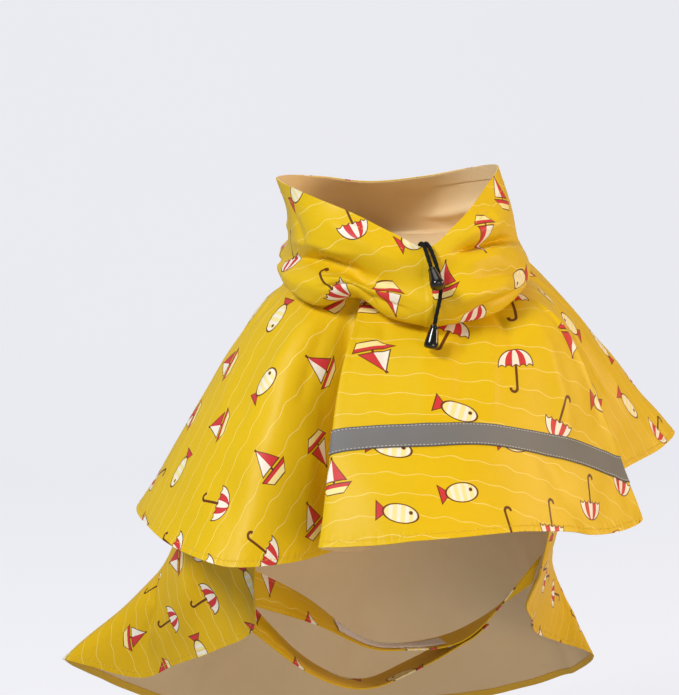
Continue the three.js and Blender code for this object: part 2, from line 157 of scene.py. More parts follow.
# Belly bands: places on the body panel (along, down from, down to) and free sections (x, y, z, tilt)
STRAP_WIDTH = 42
STRAP_LINES = 3
STRAP_STEPS = 28
TAPE_ON_STRAP = 25
STRAP_FRONT = {
    "start": (17.4, 0.97, 0.85),
    "sections": [(-79, 66, -346, 30), (-17, 68, -384, 5), (18, 68, -390, -2), (85, 66, -382, 0)],
    "end": (0.7, 0.87, 0.965),
    "tape": (8, 21),
}
STRAP_REAR = {
    "start": (16.7, 0.97, 0.86),
    "sections": [(-79, 76, -408, 15), (-38, 78, -428, 5), (-8, 78, -430, 0), (34, 76, -414, 0), (60, 72, -401, 0)],
    "closes": (22, 24),
    "tape": (26, 30),
}

CORD_DIAMETER = 4
CORDS = {
    "short": [
        (-11.5, -100, 44), (-11.5, -104, 49.3), (-11.5, -110.5, 50.4), (-11, -117.5, 46.8),
        (-10.5, -124.5, 39.5), (-10, -131, 32), (-9.5, -136, 26.5),
    ],
    "long": [
        (-7, -100, 44), (-7, -104, 49.3), (-6.8, -110.5, 50.4), (-6, -117.5, 46.8),
        (-4.5, -124.5, 39.3), (-2.5, -130, 29), (-0.6, -133.5, 18), (0, -135.5, 6),
        (-2, -137, -7), (-5, -138, -18), (-7, -138.5, -28),
    ],
}
BELL_LENGTH = 24
# Bell outline: radius and share of the length
BELL_PROFILE = [
    (0.01, 0), (2.2, 0), (3.4, 0.008), (4.0, 0.03), (4.2, 0.07), (4.15, 0.12), (4.2, 0.17),
    (4.45, 0.21), (5.0, 0.3), (5.6, 0.42), (6.25, 0.56), (6.8, 0.68), (7.1, 0.76), (7.2, 0.82),
    (7.05, 0.88), (6.5, 0.94), (5.2, 0.975), (3.4, 0.992), (1.6, 1.0), (0.01, 1.0),
]

# The camera stood 2.2 m off, a little to the wearer's right and above the hem's middle
EYE = (-0.63088, -2.10734, 0.09381)
TARGET = (-0.06286, 0.01252, -0.05965)
LENS = 109.57

# Lights in metres: place, size, power and colour
LIGHTS = {
    "key_light": ((-2.7, -1.9, 2.2), 1.1, 117, "#FFFFFF"),
    "fill_light": ((3.4, -0.8, 0.9), 1.6, 78, "#FFE0B2"),
    "low_light": ((0.5, -2.1, -0.5), 1.4, 20, "#FFE2BE"),
    "top_light": ((-0.2, 0.3, 2.8), 2.0, 16, "#FFF6E6"),
}
ROOM_LIGHT = 0.2

# Creases: places (along, down) from start to end, then half width and depth; a ridge has a negative
# depth. The first ones of each table are in the photographed view, the others on hidden sides.
CAPE_CREASES = [
    ((14.9, 0.07), (15.1, 0.40), 8, 2.6),
    ((16.1, 0.08), (15.9, 0.66), 14, -2.6),
    ((17.4, 0.07), (16.6, 0.56), 11, 3.8),
    ((18.0, 0.08), (17.2, 0.60), 9, -2.8),
    ((18.7, 0.08), (18.2, 0.34), 7, 3.6),
    ((19.4, 0.08), (18.8, 0.72), 15, -3.2),
    ((20.3, 0.10), (20.2, 0.46), 7, 2.4),
    ((18.0, 0.62), (18.7, 0.999), 20, 2.8),
    ((15.7, 0.70), (15.5, 0.999), 18, -2.4),
    ((6.8, 0.12), (6.3, 0.62), 13, -2.8),
    ((7.6, 0.10), (7.5, 0.50), 9, 2.6),
    ((5.9, 0.14), (5.3, 0.80), 15, 1.8),
    ((8.0, 0.18), (8.4, 0.86), 14, 1.6),
    ((20.9, 0.12), (20.6, 0.25), (20.35, 0.42), (20.5, 0.62), (20.8, 0.8), (21.0, 0.999), 6, -3.0),
    ((21.9, 0.12), (21.6, 0.28), (21.6, 0.48), (21.9, 0.72), 9, 5.0),
    ((6.6, 0.72), (6.9, 0.999), 18, 2.2),
    ((24.3, 0.20), (24.5, 0.86), 12, 3.4),
    ((23.3, 0.14), (23.5, 0.60), 8, -2.4),
    ((25.2, 0.10), (25.5, 0.52), 9, 3.0),
    ((27.1, 0.08), (27.4, 0.66), 12, 3.4),
    ((28.6, 0.07), (28.4, 0.48), 9, -2.6),
    ((29.5, 0.10), (29.8, 0.74), 13, 2.8),
    ((30.6, 0.06), (30.4, 0.44), 8, 3.0),
    ((0.5, 0.08), (0.7, 0.58), 11, -2.8),
    ((1.4, 0.06), (1.5, 0.70), 10, 3.2),
    ((2.6, 0.10), (2.3, 0.52), 9, 2.4),
    ((3.6, 0.08), (3.5, 0.62), 12, -2.6),
    ((4.4, 0.12), (4.2, 0.40), 8, 2.6),
]
BODY_CREASES = [
    ((13.4, 0.62), (13.69, 0.77), (13.95, 0.83), (13.86, 0.95), 7, 6.4),
    ((13.7, 0.64), (14.02, 0.78), (14.2, 0.85), (14.12, 0.94), 7, -3.2),
    ((12.9, 0.70), (12.7, 0.999), 12, -3.4),
    ((15.9, 0.70), (15.5, 0.97), 11, 2.4),
    ((16.8, 0.74), (16.5, 0.999), 9, -1.8),
    ((4.6, 0.66), (4.4, 0.96), 8, 3.2),
    ((0.9, 0.78), (1.4, 0.88), 3, 2.2),
    ((5.6, 0.55), (5.9, 0.999), 14, 3.4),
    ((7.4, 0.50), (7.2, 0.92), 12, 3.0),
    ((8.3, 0.56), (8.6, 0.999), 15, -3.2),
    ((9.4, 0.48), (9.2, 0.86), 11, 3.4),
    ((10.6, 0.54), (10.9, 0.999), 13, -2.8),
    ((11.6, 0.58), (11.4, 0.94), 10, 3.2),
    ((2.6, 0.62), (2.4, 0.94), 10, 2.6),
]
HOOD_CREASES = [
    ((3.2, 0.53), (4.15, 0.46), (5.0, 0.41), (5.7, 0.46), (6.2, 0.49), (6.7, 0.45), (7.2, 0.41), 6.5, 11.0),
    ((2.9, 0.47), (4.2, 0.35), (5.0, 0.3), (5.8, 0.34), (6.6, 0.3), 8, -4.0),
    ((4.9, 0.49), (5.6, 0.555), (6.2, 0.57), (6.7, 0.535), (7.3, 0.475), (7.8, 0.45), 4.5, -5.5),
    ((6.3, 0.62), (6.7, 0.6), (7.2, 0.57), (7.8, 0.56), 8, 5.0),
    ((4.9, 0.58), (5.6, 0.61), (6.2, 0.605), (6.5, 0.66), (6.7, 0.71), 4.5, 5.0),
    ((3.3, 0.68), (4.4, 0.7), (5.2, 0.72), 8, -3.0),
    ((3.0, 0.57), (4.15, 0.455), (5.0, 0.395), (5.7, 0.44), (6.2, 0.455), (6.9, 0.39), 2.4, 5.2),
    ((5.4, 0.51), (5.8, 0.535), (6.3, 0.545), (6.8, 0.51), (7.4, 0.455), 2.6, 3.6),
    ((3.9, 0.16), (4.7, 0.36), 8, 3.0),
    ((5.0, 0.10), (6.6, 0.22), 9, -2.2),
    ((8.3, 0.13), (9.0, 0.185), (9.45, 0.225), (9.95, 0.265), (10.6, 0.32), (11.6, 0.42), (12.4, 0.48), 6, 10.0),
    ((8.6, 0.09), (9.5, 0.14), (10.3, 0.2), (11.6, 0.33), 8, -4.0),
    ((8.6, 0.15), (9.2, 0.2), (9.95, 0.26), (10.7, 0.325), (12.0, 0.45), 2.7, 4.9),
    ((8.9, 0.4), (9.5, 0.43), (10.1, 0.48), (10.9, 0.58), (11.6, 0.63), 8, 6.0),
    ((8.6, 0.28), (9.6, 0.32), (10.6, 0.42), 9, -3.5),
    ((8.3, 0.6), (9.0, 0.645), (9.55, 0.62), (10.5, 0.66), (11.4, 0.7), 6, 5.0),
    ((8.3, 0.5), (9.4, 0.535), (10.4, 0.59), 8, -3.5),
    ((9.8, 0.06), (10.6, 0.16), 7, 2.2),
    ((12.0, 0.56), (13.1, 0.52), (14.2, 0.44), 6, 6.6),
    ((12.4, 0.66), (13.6, 0.60), 6, -3.0),
    ((13.4, 0.30), (14.3, 0.32), (15.4, 0.38), 7, 6.0),
    ((14.2, 0.58), (15.0, 0.57), (15.9, 0.50), 8, 3.8),
    ((14.8, 0.62), (15.9, 0.60), 7, -2.6),
    ((0.3, 0.38), (1.2, 0.44), (2.1, 0.46), 6, 6.6),
    ((0.7, 0.56), (2.2, 0.53), 6, -3.2),
    ((1.5, 0.64), (2.3, 0.62), (3.0, 0.58), 6, 4.8),
    ((1.2, 0.22), (2.6, 0.30), 7, 2.6),
    ((2.1, 0.36), (3.1, 0.34), 6, -2.2),
]


# ---------------------------------------------------------------- curves and surfaces

def at(turn, reach, height):
    angle = math.radians(turn)
    return (reach * math.sin(angle), -reach * math.cos(angle), height)


def neck_point(turn, inset=0.0, lift=0.0):
    angle = math.radians(turn)
    x = (NECK["half_width"] - inset) * math.sin(angle)
    y = -(NECK["half_depth"] - inset) * math.cos(angle)
    return (x, y, NECK["height"] - NECK["tilt"] * math.cos(angle) + lift)


def spline(points, share, ring=False):
    """Points at parameter shares (..., m) on the centripetal curves through points (..., n, 3)."""
    points = np.asarray(points, float)
    count = points.shape[-2]
    share = np.broadcast_to(share, points.shape[:-2] + (np.shape(share)[-1],))
    place = share * (count if ring else count - 1)
    if ring:
        first = np.floor(place).astype(int)
        weight = place - first
        first = first % count
        ends = (points[..., -1:, :], points[..., :2, :])
    else:
        first = np.clip(np.floor(place).astype(int), 0, count - 2)
        weight = place - first
        ends = (2 * points[..., :1, :] - points[..., 1:2, :], 2 * points[..., -1:, :] - points[..., -2:-1, :])
    padded = np.concatenate([ends[0], points, ends[1]], axis=-2)
    p = [np.take_along_axis(padded, (first + k)[..., None], axis=-2) for k in range(4)]
    d = [np.sqrt(np.linalg.norm(p[k + 1] - p[k], axis=-1, keepdims=True)) for k in range(3)]
    t1 = ((p[1] - p[0]) / d[0] - (p[2] - p[0]) / (d[0] + d[1]) + (p[2] - p[1]) / d[1]) * d[1]
    t2 = ((p[2] - p[1]) / d[1] - (p[3] - p[1]) / (d[1] + d[2]) + (p[3] - p[2]) / d[2]) * d[1]
    w = weight[..., None]
    square = -3 * p[1] + 3 * p[2] - 2 * t1 - t2
    cube = 2 * p[1] - 2 * p[2] + t1 + t2
    return p[1] + w * (t1 + w * (square + w * cube))


def lengths(points):
    """Length run at each point along the second last axis."""
    steps = np.linalg.norm(np.diff(points, axis=-2), axis=-1)
    return np.concatenate([np.zeros(steps.shape[:-1] + (1,)), np.cumsum(steps, axis=-1)], axis=-1)


def down_falls(falls, downs):
    """Points at equal shares of length down each fall, one line of them for each share."""
    fine = np.linspace(0, 1, 201)
    run = lengths(spline(falls, fine))
    share = np.stack([np.interp(downs * row[-1], row, fine) for row in run])
    return spline(falls, share).swapaxes(0, 1)


def grid_normals(grid, ring):
    """Outward unit normals of a grid; a ring's last column repeats its first."""
    if ring:
        wide = np.concatenate([grid[:, -2:-1], grid, grid[:, 1:2]], axis=1)
        across = wide[:, 2:] - wide[:, :-2]
    else:
        wide = np.concatenate([grid[:, :1], grid, grid[:, -1:]], axis=1)
        across = wide[:, 2:] - wide[:, :-2]
    tall = np.concatenate([grid[:1], grid, grid[-1:]], axis=0)
    down = tall[2:] - tall[:-2]
    normal = np.cross(down, across)
    return normal / np.maximum(np.linalg.norm(normal, axis=-1, keepdims=True), 1e-9)


def soft_normals(grid, ring, passes=3):
    """Normals evened out over their neighbours, so that an inner skin doesn't cross itself in a crease."""
    normal = grid_normals(grid, ring)
    for _ in range(passes):
        ends = (normal[:, -2:-1], normal[:, 1:2]) if ring else (normal[:, :1], normal[:, -1:])
        wide = np.concatenate([ends[0], normal, ends[1]], axis=1)
        normal = (wide[:, :-2] + 2 * wide[:, 1:-1] + wide[:, 2:]) / 4
        tall = np.concatenate([normal[:1], normal, normal[-1:]], axis=0)
        normal = (tall[:-2] + 2 * tall[1:-1] + tall[2:]) / 4
    return normal / np.maximum(np.linalg.norm(normal, axis=-1, keepdims=True), 1e-9)


def moved(grid, distance, ring=False):
    return grid + grid_normals(grid, ring) * distance


def smooth(value, low, high):
    share = np.clip((value - low) / (high - low), 0, 1)
    return share * share * (3 - 2 * share)


class Surface:
    """A panel's points over (along, down): along counts table rows, down runs from 0 to 1."""

    def __init__(self, falls, ring, columns, rows, first=0.0, last=None):
        self.falls = np.array(falls, float)
        self.ring = ring
        self.spans = len(falls) if ring else len(falls) - 1
        self.last = self.spans if last is None else last
        self.first = first
        self.closed = ring and last is None
        self.alongs = np.linspace(first, self.last, columns + 1)
        self.downs = np.linspace(0, 1, rows + 1)
        lines = down_falls(self.falls, self.downs)
        self.base = spline(lines, self.alongs / self.spans, ring)
        self.lift = np.zeros(self.base.shape[:2])
        self.settle()

    def part(self, first, last, columns):
        """The same cloth between two rows, as a surface of its own."""
        piece = object.__new__(Surface)
        piece.ring, piece.closed, piece.spans = self.ring, False, self.spans
        piece.first, piece.last, piece.downs = first, last, self.downs
        piece.alongs = np.linspace(first, last, columns + 1)
        across, down = np.meshgrid(piece.alongs, piece.downs)
        piece.base = self.read(across, down, base=True)
        piece.points = self.read(across, down)
        piece.lift = np.zeros(piece.base.shape[:2])
        piece.normals = self.read(across, down, 1.0) - piece.points
        return piece

    def settle(self):
        """Moves the base points by their lift."""
        normals = grid_normals(self.base, self.closed)
        self.points = self.base + normals * self.lift[..., None]
        self.normals = soft_normals(self.points, self.closed)

    def cells(self, along, down):
        """Lower corner and share of the grid cell of each place."""
        along = np.asarray(along, float)
        if self.closed:
            along = np.where(along == self.spans, along, along % self.spans)
        column = (along - self.first) / (self.last - self.first) * (len(self.alongs) - 1)
        row = np.asarray(down, float) * (len(self.downs) - 1)
        column, row = np.broadcast_arrays(column, row)
        c = np.clip(np.floor(column).astype(int), 0, len(self.alongs) - 2)
        r = np.clip(np.floor(row).astype(int), 0, len(self.downs) - 2)
        return r, c, (row - r)[..., None], (column - c)[..., None]

    def read(self, along, down, height=0.0, base=False):
        """Points at any places, raised off the cloth by a height."""
        r, c, v, u = self.cells(along, down)

        def blend(grid):
            upper = grid[r, c] * (1 - u) + grid[r, c + 1] * u
            lower = grid[r + 1, c] * (1 - u) + grid[r + 1, c + 1] * u
            return upper * (1 - v) + lower * v

        if base:
            return blend(self.base)
        return blend(self.points) + blend(self.normals) * height

    def crease(self, places, width, depth):
        """Adds a soft trough through places, or a ridge where depth is negative."""
        s = np.linspace(0, 1, 160)
        along, down, _ = spline([(*place, 0.0) for place in places], s).T
        path = self.read(along, np.clip(down, 0, 1), base=True)
        beyond = np.abs(self.alongs - along.min()) + np.abs(self.alongs - along.max())
        if self.closed:
            middle = (along.min() + along.max()) / 2
            half = (along.max() - along.min()) / 2
            offset = np.abs((self.alongs - middle + self.spans / 2) % self.spans - self.spans / 2)
            near = offset < half + 1.8
        else:
            near = beyond < (along.max() - along.min()) + 3.6
        columns = np.nonzero(near)[0]
        block = self.base[:, columns]
        apart = sum((block[:, :, None, k] - path[None, None, :, k]) ** 2 for k in range(3))
        nearest = apart.argmin(axis=-1)
        distance = np.sqrt(np.take_along_axis(apart, nearest[..., None], axis=-1)[..., 0])
        share = s[nearest]
        taper = np.ones_like(share)
        if 0.02 < places[0][1] < 0.98:
            taper = taper * smooth(share, 0, 0.35)
        if 0.02 < places[-1][1] < 0.98:
            taper = taper * smooth(1 - share, 0, 0.35)
        profile = (1 + (distance / width) ** 2) ** -1.5
        self.lift[:, columns] -= depth * taper * profile
        if self.closed:
            self.lift[:, -1] = self.lift[:, 0]

    def rumple(self, flat, size, seed, waves=9):
        """Adds slow uneven swells to the cloth, from its flat coordinates in metres."""
        rng = np.random.default_rng(seed)
        total = np.zeros(self.lift.shape)
        for _ in range(waves):
            angle, phase = rng.uniform(0, math.tau, 2)
            length = rng.uniform(0.035, 0.12)
            run = (flat[..., 0] * math.cos(angle) + flat[..., 1] * math.sin(angle)) / length * math.tau
            total += np.sin(run + phase) * length / 0.08
        fade = smooth(self.downs, 0.02, 0.2)[:, None]
        self.lift += total * fade * size / math.sqrt(waves)
        if self.closed:
            self.lift[:, -1] = self.lift[:, 0]


def circular_cut(surface, inner, centre):
    """Flat coordinates in metres of a panel cut as part of a ring, with its middle at angle centre."""
    hem = lengths(surface.base[-1])
    fall = lengths(surface.base.swapaxes(0, 1)).swapaxes(0, 1)
    radius = inner + fall
    middle = radius[-1].mean()
    if surface.closed:
        angle = hem / hem[-1] * math.tau + centre
    else:
        angle = (hem - hem[-1] / 2) / middle + centre
    return np.stack([radius * np.sin(angle), radius * np.cos(angle)], axis=-1) * MM


def straight_cut(surface, turn):
    """Flat coordinates in metres of a panel cut on the straight, turned on the cloth."""
    row = len(surface.downs) // 2
    across = np.broadcast_to(lengths(surface.base[row]), surface.base.shape[:2])
    fall = lengths(surface.base.swapaxes(0, 1)).swapaxes(0, 1)
    c, s = math.cos(math.radians(turn)), math.sin(math.radians(turn))
    return np.stack([across * c + fall * s, -across * s + fall * c], axis=-1) * MM


def edge_map(surface):
    """Run along the hem and distance from it, in metres."""
    run = np.broadcast_to(lengths(surface.base[-1]), surface.base.shape[:2])
    fall = lengths(surface.base.swapaxes(0, 1)).swapaxes(0, 1)
    return np.stack([run, fall[-1] - fall], axis=-1) * MM


# ---------------------------------------------------------------- meshes

def mesh_object(name, vertices, faces, materials, indices=None, uvs=None, sharp=55):
    """A smooth mesh from points in millimetres; uvs holds a corner list of coordinates for each map."""
    mesh = bpy.data.meshes.new(name)
    mesh.from_pydata((np.asarray(vertices) * MM).tolist(), [], faces)
    for material in materials:
        mesh.materials.append(material)
    if indices is not None:
        mesh.polygons.foreach_set("material_index", indices)
    for title, corners in (uvs or {}).items():
        layer = mesh.uv_layers.new(name=title)
        layer.data.foreach_set("uv", np.asarray(corners, np.float32).ravel())
    mesh.polygons.foreach_set("use_smooth", [True] * len(mesh.polygons))
    mesh.set_sharp_from_angle(angle=math.radians(sharp))
    mesh.update()
    made = bpy.data.objects.new(name, mesh)
    bpy.context.scene.collection.objects.link(made)
    return made


def shell(name, front, back, ring, maps, materials, rim=0):
    """A closed skin between two grids; a ring's last column repeats its first."""
    rows, width = front.shape[:2]
    kept = width - 1 if ring else width
    count = rows * kept
    index = np.arange(count).reshape(rows, kept)
    if ring:
        index = np.concatenate([index, index[:, :1]], axis=1)
    vertices = np.concatenate([front[:, :kept].reshape(-1, 3), back[:, :kept].reshape(-1, 3)])
    place = np.arange(rows * width).reshape(rows, width)

    def quads(grid, other=None):
        other = grid if other is None else other
        return np.stack([grid[:-1, :-1], grid[:-1, 1:], other[1:, 1:], other[1:, :-1]], axis=-1).reshape(-1, 4)

    def strip(line, other):
        return np.stack([line[:-1], line[1:], other[1:], other[:-1]], axis=-1)

    faces = [quads(index)[:, ::-1], quads(index + count)]
    corners = [quads(place)[:, ::-1], quads(place)]
    slots = [np.zeros(len(faces[0]), int), np.ones(len(faces[1]), int)]
    for line, other, spots in (
        (index[0], index[0] + count, place[0]),
        (index[-1] + count, index[-1], place[-1]),
    ):
        faces.append(strip(line, other))
        corners.append(strip(spots, spots))
        slots.append(np.full(len(spots) - 1, rim))
    if not ring:
        for line, other, spots in (
            (index[:, 0] + count, index[:, 0], place[:, 0]),
            (index[:, -1], index[:, -1] + count, place[:, -1]),
        ):
            faces.append(strip(line, other))
            corners.append(strip(spots, spots))
            slots.append(np.full(len(spots) - 1, rim))
    faces = np.concatenate(faces)
    corners = np.concatenate(corners).ravel()
    uvs = {title: grid.reshape(-1, 2)[corners] for title, grid in maps.items()}
    return mesh_object(name, vertices, faces.tolist(), materials, np.concatenate(slots), uvs)


def cloth_shell(name, surface, flat, materials, thinned=0.0):
    """A panel's cloth; thinned is the share of its fall where it reaches its full thickness."""
    thickness = np.full(len(surface.downs), SHOWN_CLOTH)
    if thinned:
        full = smooth(surface.downs, 0.5 * thinned, thinned)
        thickness = THINNED_CLOTH + (SHOWN_CLOTH - THINNED_CLOTH) * full
    back = surface.points - surface.normals * thickness[:, None, None]
    maps = {"cut": flat, "edge": edge_map(surface)}
    return shell(name, surface.points, back, surface.closed, maps, materials)


def tube(name, path, radius, sides, material, weave=0.0, strands=6, pitch=7.0):
    """A round cord along a path, with the crossing strands of a braid where weave is given."""
    run = lengths(path)
    tangent = np.gradient(path, axis=0)
    tangent /= np.linalg.norm(tangent, axis=1, keepdims=True)
    side = np.zeros_like(path)
    guide = np.array([1.0, 0.0, 0.0])
    for i, t in enumerate(tangent):
        guide = guide - t * guide.dot(t)
        guide /= np.linalg.norm(guide)
        side[i] = guide
    up = np.cross(tangent, side)
    angle = np.linspace(0, math.tau, sides, endpoint=False)
    phase = run[:, None] / pitch * math.tau
    ridge = np.maximum(np.sin(strands / 2 * angle + phase), np.sin(strands / 2 * angle - phase))
    size = radius + weave * (ridge - 0.4)
    ring = side[:, None] * np.cos(angle)[None, :, None] + up[:, None] * np.sin(angle)[None, :, None]
    points = path[:, None] + ring * size[..., None]
    rows = len(path)
    index = np.arange(rows * sides).reshape(rows, sides)
    wrapped = np.concatenate([index, index[:, :1]], axis=1)
    faces = np.stack([wrapped[:-1, :-1], wrapped[:-1, 1:], wrapped[1:, 1:], wrapped[1:, :-1]], axis=-1)
    faces = faces.reshape(-1, 4).tolist()
    faces += [index[0][::-1].tolist(), index[-1].tolist()]
    return mesh_object(name, points.reshape(-1, 3), faces, [material])


def lathe(name, profile, sides, start, direction, material):
    """A turned solid with its axis from start along direction."""
    axis = Vector(direction).normalized()
    across = axis.orthogonal().normalized()
    other = axis.cross(across)
    angle = np.linspace(0, math.tau, sides, endpoint=False)
    rings = []
    for radius, height in profile:
        ring = np.outer(np.cos(angle) * radius, across) + np.outer(np.sin(angle) * radius, other)
        rings.append(ring + np.array(start) + np.array(axis) * height)
    index = np.arange(len(profile) * sides).reshape(len(profile), sides)
    wrapped = np.concatenate([index, index[:, :1]], axis=1)
    faces = np.stack([wrapped[:-1, :-1], wrapped[:-1, 1:], wrapped[1:, 1:], wrapped[1:, :-1]], axis=-1)
    faces = faces.reshape(-1, 4).tolist()
    faces += [index[0][::-1].tolist(), index[-1].tolist()]
    return mesh_object(name, np.concatenate(rings), faces, [material], sharp=75)


def stitches(name, line, normals, material, length=3.0, gap=1.3, radius=0.32):
    """A row of sewn stitches along a line, each a small thread that dips into the cloth at both ends."""
    run = lengths(line)
    count = int(run[-1] / (length + gap))
    starts = np.arange(count) * (run[-1] / count)
    shares = np.linspace(0, 1, 5)
    sides = 6
    where = starts[:, None] + shares[None] * length
    spots = np.stack([np.interp(where, run, line[:, k]) for k in range(3)], axis=-1)
    face = np.stack([np.interp(where, run, normals[:, k]) for k in range(3)], axis=-1)
    face /= np.linalg.norm(face, axis=-1, keepdims=True)
    ahead = np.gradient(spots, axis=1)
    ahead /= np.linalg.norm(ahead, axis=-1, keepdims=True)
    across = np.cross(ahead, face)
    arch = np.sin(math.pi * shares)
    centre = spots + face * (radius * (arch * 1.3 - 0.6))[None, :, None]
    angle = np.linspace(0, math.tau, sides, endpoint=False)
    thick = radius * (0.35 + 0.65 * arch)
    ring = (across[:, :, None] * np.cos(angle)[:, None] + face[:, :, None] * np.sin(angle)[:, None])
    points = centre[:, :, None] + ring * thick[None, :, None, None]
    base = np.arange(len(shares) * sides).reshape(len(shares), sides)
    wrapped = np.concatenate([base, base[:, :1]], axis=1)
    one = np.stack([wrapped[:-1, :-1], wrapped[:-1, 1:], wrapped[1:, 1:], wrapped[1:, :-1]], axis=-1)
    one = one.reshape(-1, 4)
    shift = np.arange(count) * len(shares) * sides
    faces = (one[None] + shift[:, None, None]).reshape(-1, 4).tolist()
    return mesh_object(name, points.reshape(-1, 3), faces, [material])


def stitch_row(name, surface, along, down, material, height=0.0, **sizes):
    line = surface.read(along, down, height)
    normals = surface.read(along, down, height + 1) - line
    return stitches(name, line, normals, material, **sizes)


# ---------------------------------------------------------------- node arithmetic

class Term:
    """A number in a node tree, so that arithmetic on it writes nodes."""

    def __init__(self, tree, socket):
        self.tree = tree
        self.socket = socket

    def math(self, operation, *others):
        node = self.tree.nodes.new("ShaderNodeMath")
        node.operation = operation
        for slot, value in zip(node.inputs, (self, *others)):
            if isinstance(value, Term):
                self.tree.links.new(value.socket, slot)
            else:
                slot.default_value = value
        return Term(self.tree, node.outputs[0])

    def __add__(self, other):
        return self.math("ADD", other)

    def __sub__(self, other):
        return self.math("SUBTRACT", other)

    def __mul__(self, other):
        return self.math("MULTIPLY", other)

    def __truediv__(self, other):
        return self.math("DIVIDE", other)

    def __neg__(self):
        return self.math("MULTIPLY", -1.0)

    def inside(self, blur=0.25):
        """One where this distance is below zero, with a soft edge."""
        node = self.tree.nodes.new("ShaderNodeMapRange")
        node.interpolation_type = "SMOOTHSTEP"
        self.tree.links.new(self.socket, node.inputs["Value"])
        node.inputs["From Min"].default_value = -blur
        node.inputs["From Max"].default_value = blur
        node.inputs["To Min"].default_value = 1
        node.inputs["To Max"].default_value = 0
        return Term(self.tree, node.outputs["Result"])


def hypot(a, b):
    return (a * a + b * b).math("SQRT")


def new_group(name, inputs, outputs):
    """A shader node group with sockets from (name, type, default) lists."""
    tree = bpy.data.node_groups.new(name, "ShaderNodeTree")
    for title, kind, value in inputs:
        socket = tree.interface.new_socket(title, in_out="INPUT", socket_type=kind)
        if value is not None:
            socket.default_value = value
    for title, kind in outputs:
        tree.interface.new_socket(title, in_out="OUTPUT", socket_type=kind)
    return tree, tree.nodes.new("NodeGroupInput"), tree.nodes.new("NodeGroupOutput")


def mix_colour(tree, factor, low, high, blend="MIX"):
    node = tree.nodes.new("ShaderNodeMix")
    node.data_type = "RGBA"
    node.blend_type = blend
    for socket, value in ((node.inputs[0], factor), (node.inputs[6], low), (node.inputs[7], high)):
        if isinstance(value, Term):
            tree.links.new(value.socket, socket)
        elif isinstance(value, bpy.types.NodeSocket):
            tree.links.new(value, socket)
        else:
            socket.default_value = value
    return node.outputs[2]


def srgb(code):
    """Linear colour of a web colour code."""
    parts = [int(code[i:i + 2], 16) / 255 for i in (1, 3, 5)]
    linear = [p / 12.92 if p <= 0.04045 else ((p + 0.055) / 1.055) ** 2.4 for p in parts]
    return (*linear, 1.0)


MOTIF_SCALE = 1.15
PALE_LINE = srgb("#F9E58C")
PRINT_RED = srgb("#D23C40")
PRINT_WHITE = srgb("#F7F1E2")
PRINT_CREAM = srgb("#F8E9A0")
PRINT_INK = srgb("#6A3B16")


def umbrella(x, y):
    """Distances of an umbrella's canopy, its gores (one or zero) and its stick."""
    radius = 16.0
    scallop = (x * (math.pi / 6.4) + math.pi / 2).math("SINE").math("ABSOLUTE") * 1.8
    canopy = (hypot(x, y) - radius).math("MAXIMUM", scallop - y)
    meridian = ((y * y) * -1.0 + radius ** 2).math("MAXIMUM", 1.0).math("SQRT")
    gore = (((x / meridian + 1.0) * 2.5).math("FLOOR")).math("MODULO", 2.0)
    stick = (x.math("ABSOLUTE") - 0.7).math("MAXIMUM", (y + 9.0).math("ABSOLUTE") - 10.5)
    crook = (hypot(x - 3.2, y + 19.0) - 3.2).math("ABSOLUTE") - 0.8
    return canopy, gore, stick.math("MINIMUM", crook.math("MAXIMUM", y + 19.0))


def boat(x, y):
    """Distances of a sailing boat's hull and sails, and its mast."""
    width = x.math("ABSOLUTE")
    hull = (width - (y * 0.9 + 20.0)).math("MAXIMUM", (y + 8.5).math("ABSOLUTE") - 4.5)
    sail = (width + y * 0.62 - 11.5).math("MAXIMUM", -(y + 1.5))
    mast = (width - 0.6).math("MAXIMUM", (y - 7.0).math("ABSOLUTE") - 13.0)
    return hull, sail, mast


def fish(x, y):
    """Distances of a fish's body and tail, and its eye."""
    body = (hypot(x / 15.0, y / 8.5) - 1.0) * 8.5
    tail = (y.math("ABSOLUTE") - (x - 11.0) * 0.85).math("MAXIMUM", x - 21.0)
    eye = hypot(x + 8.5, y - 2.0) - 1.2
    return body, tail, eye


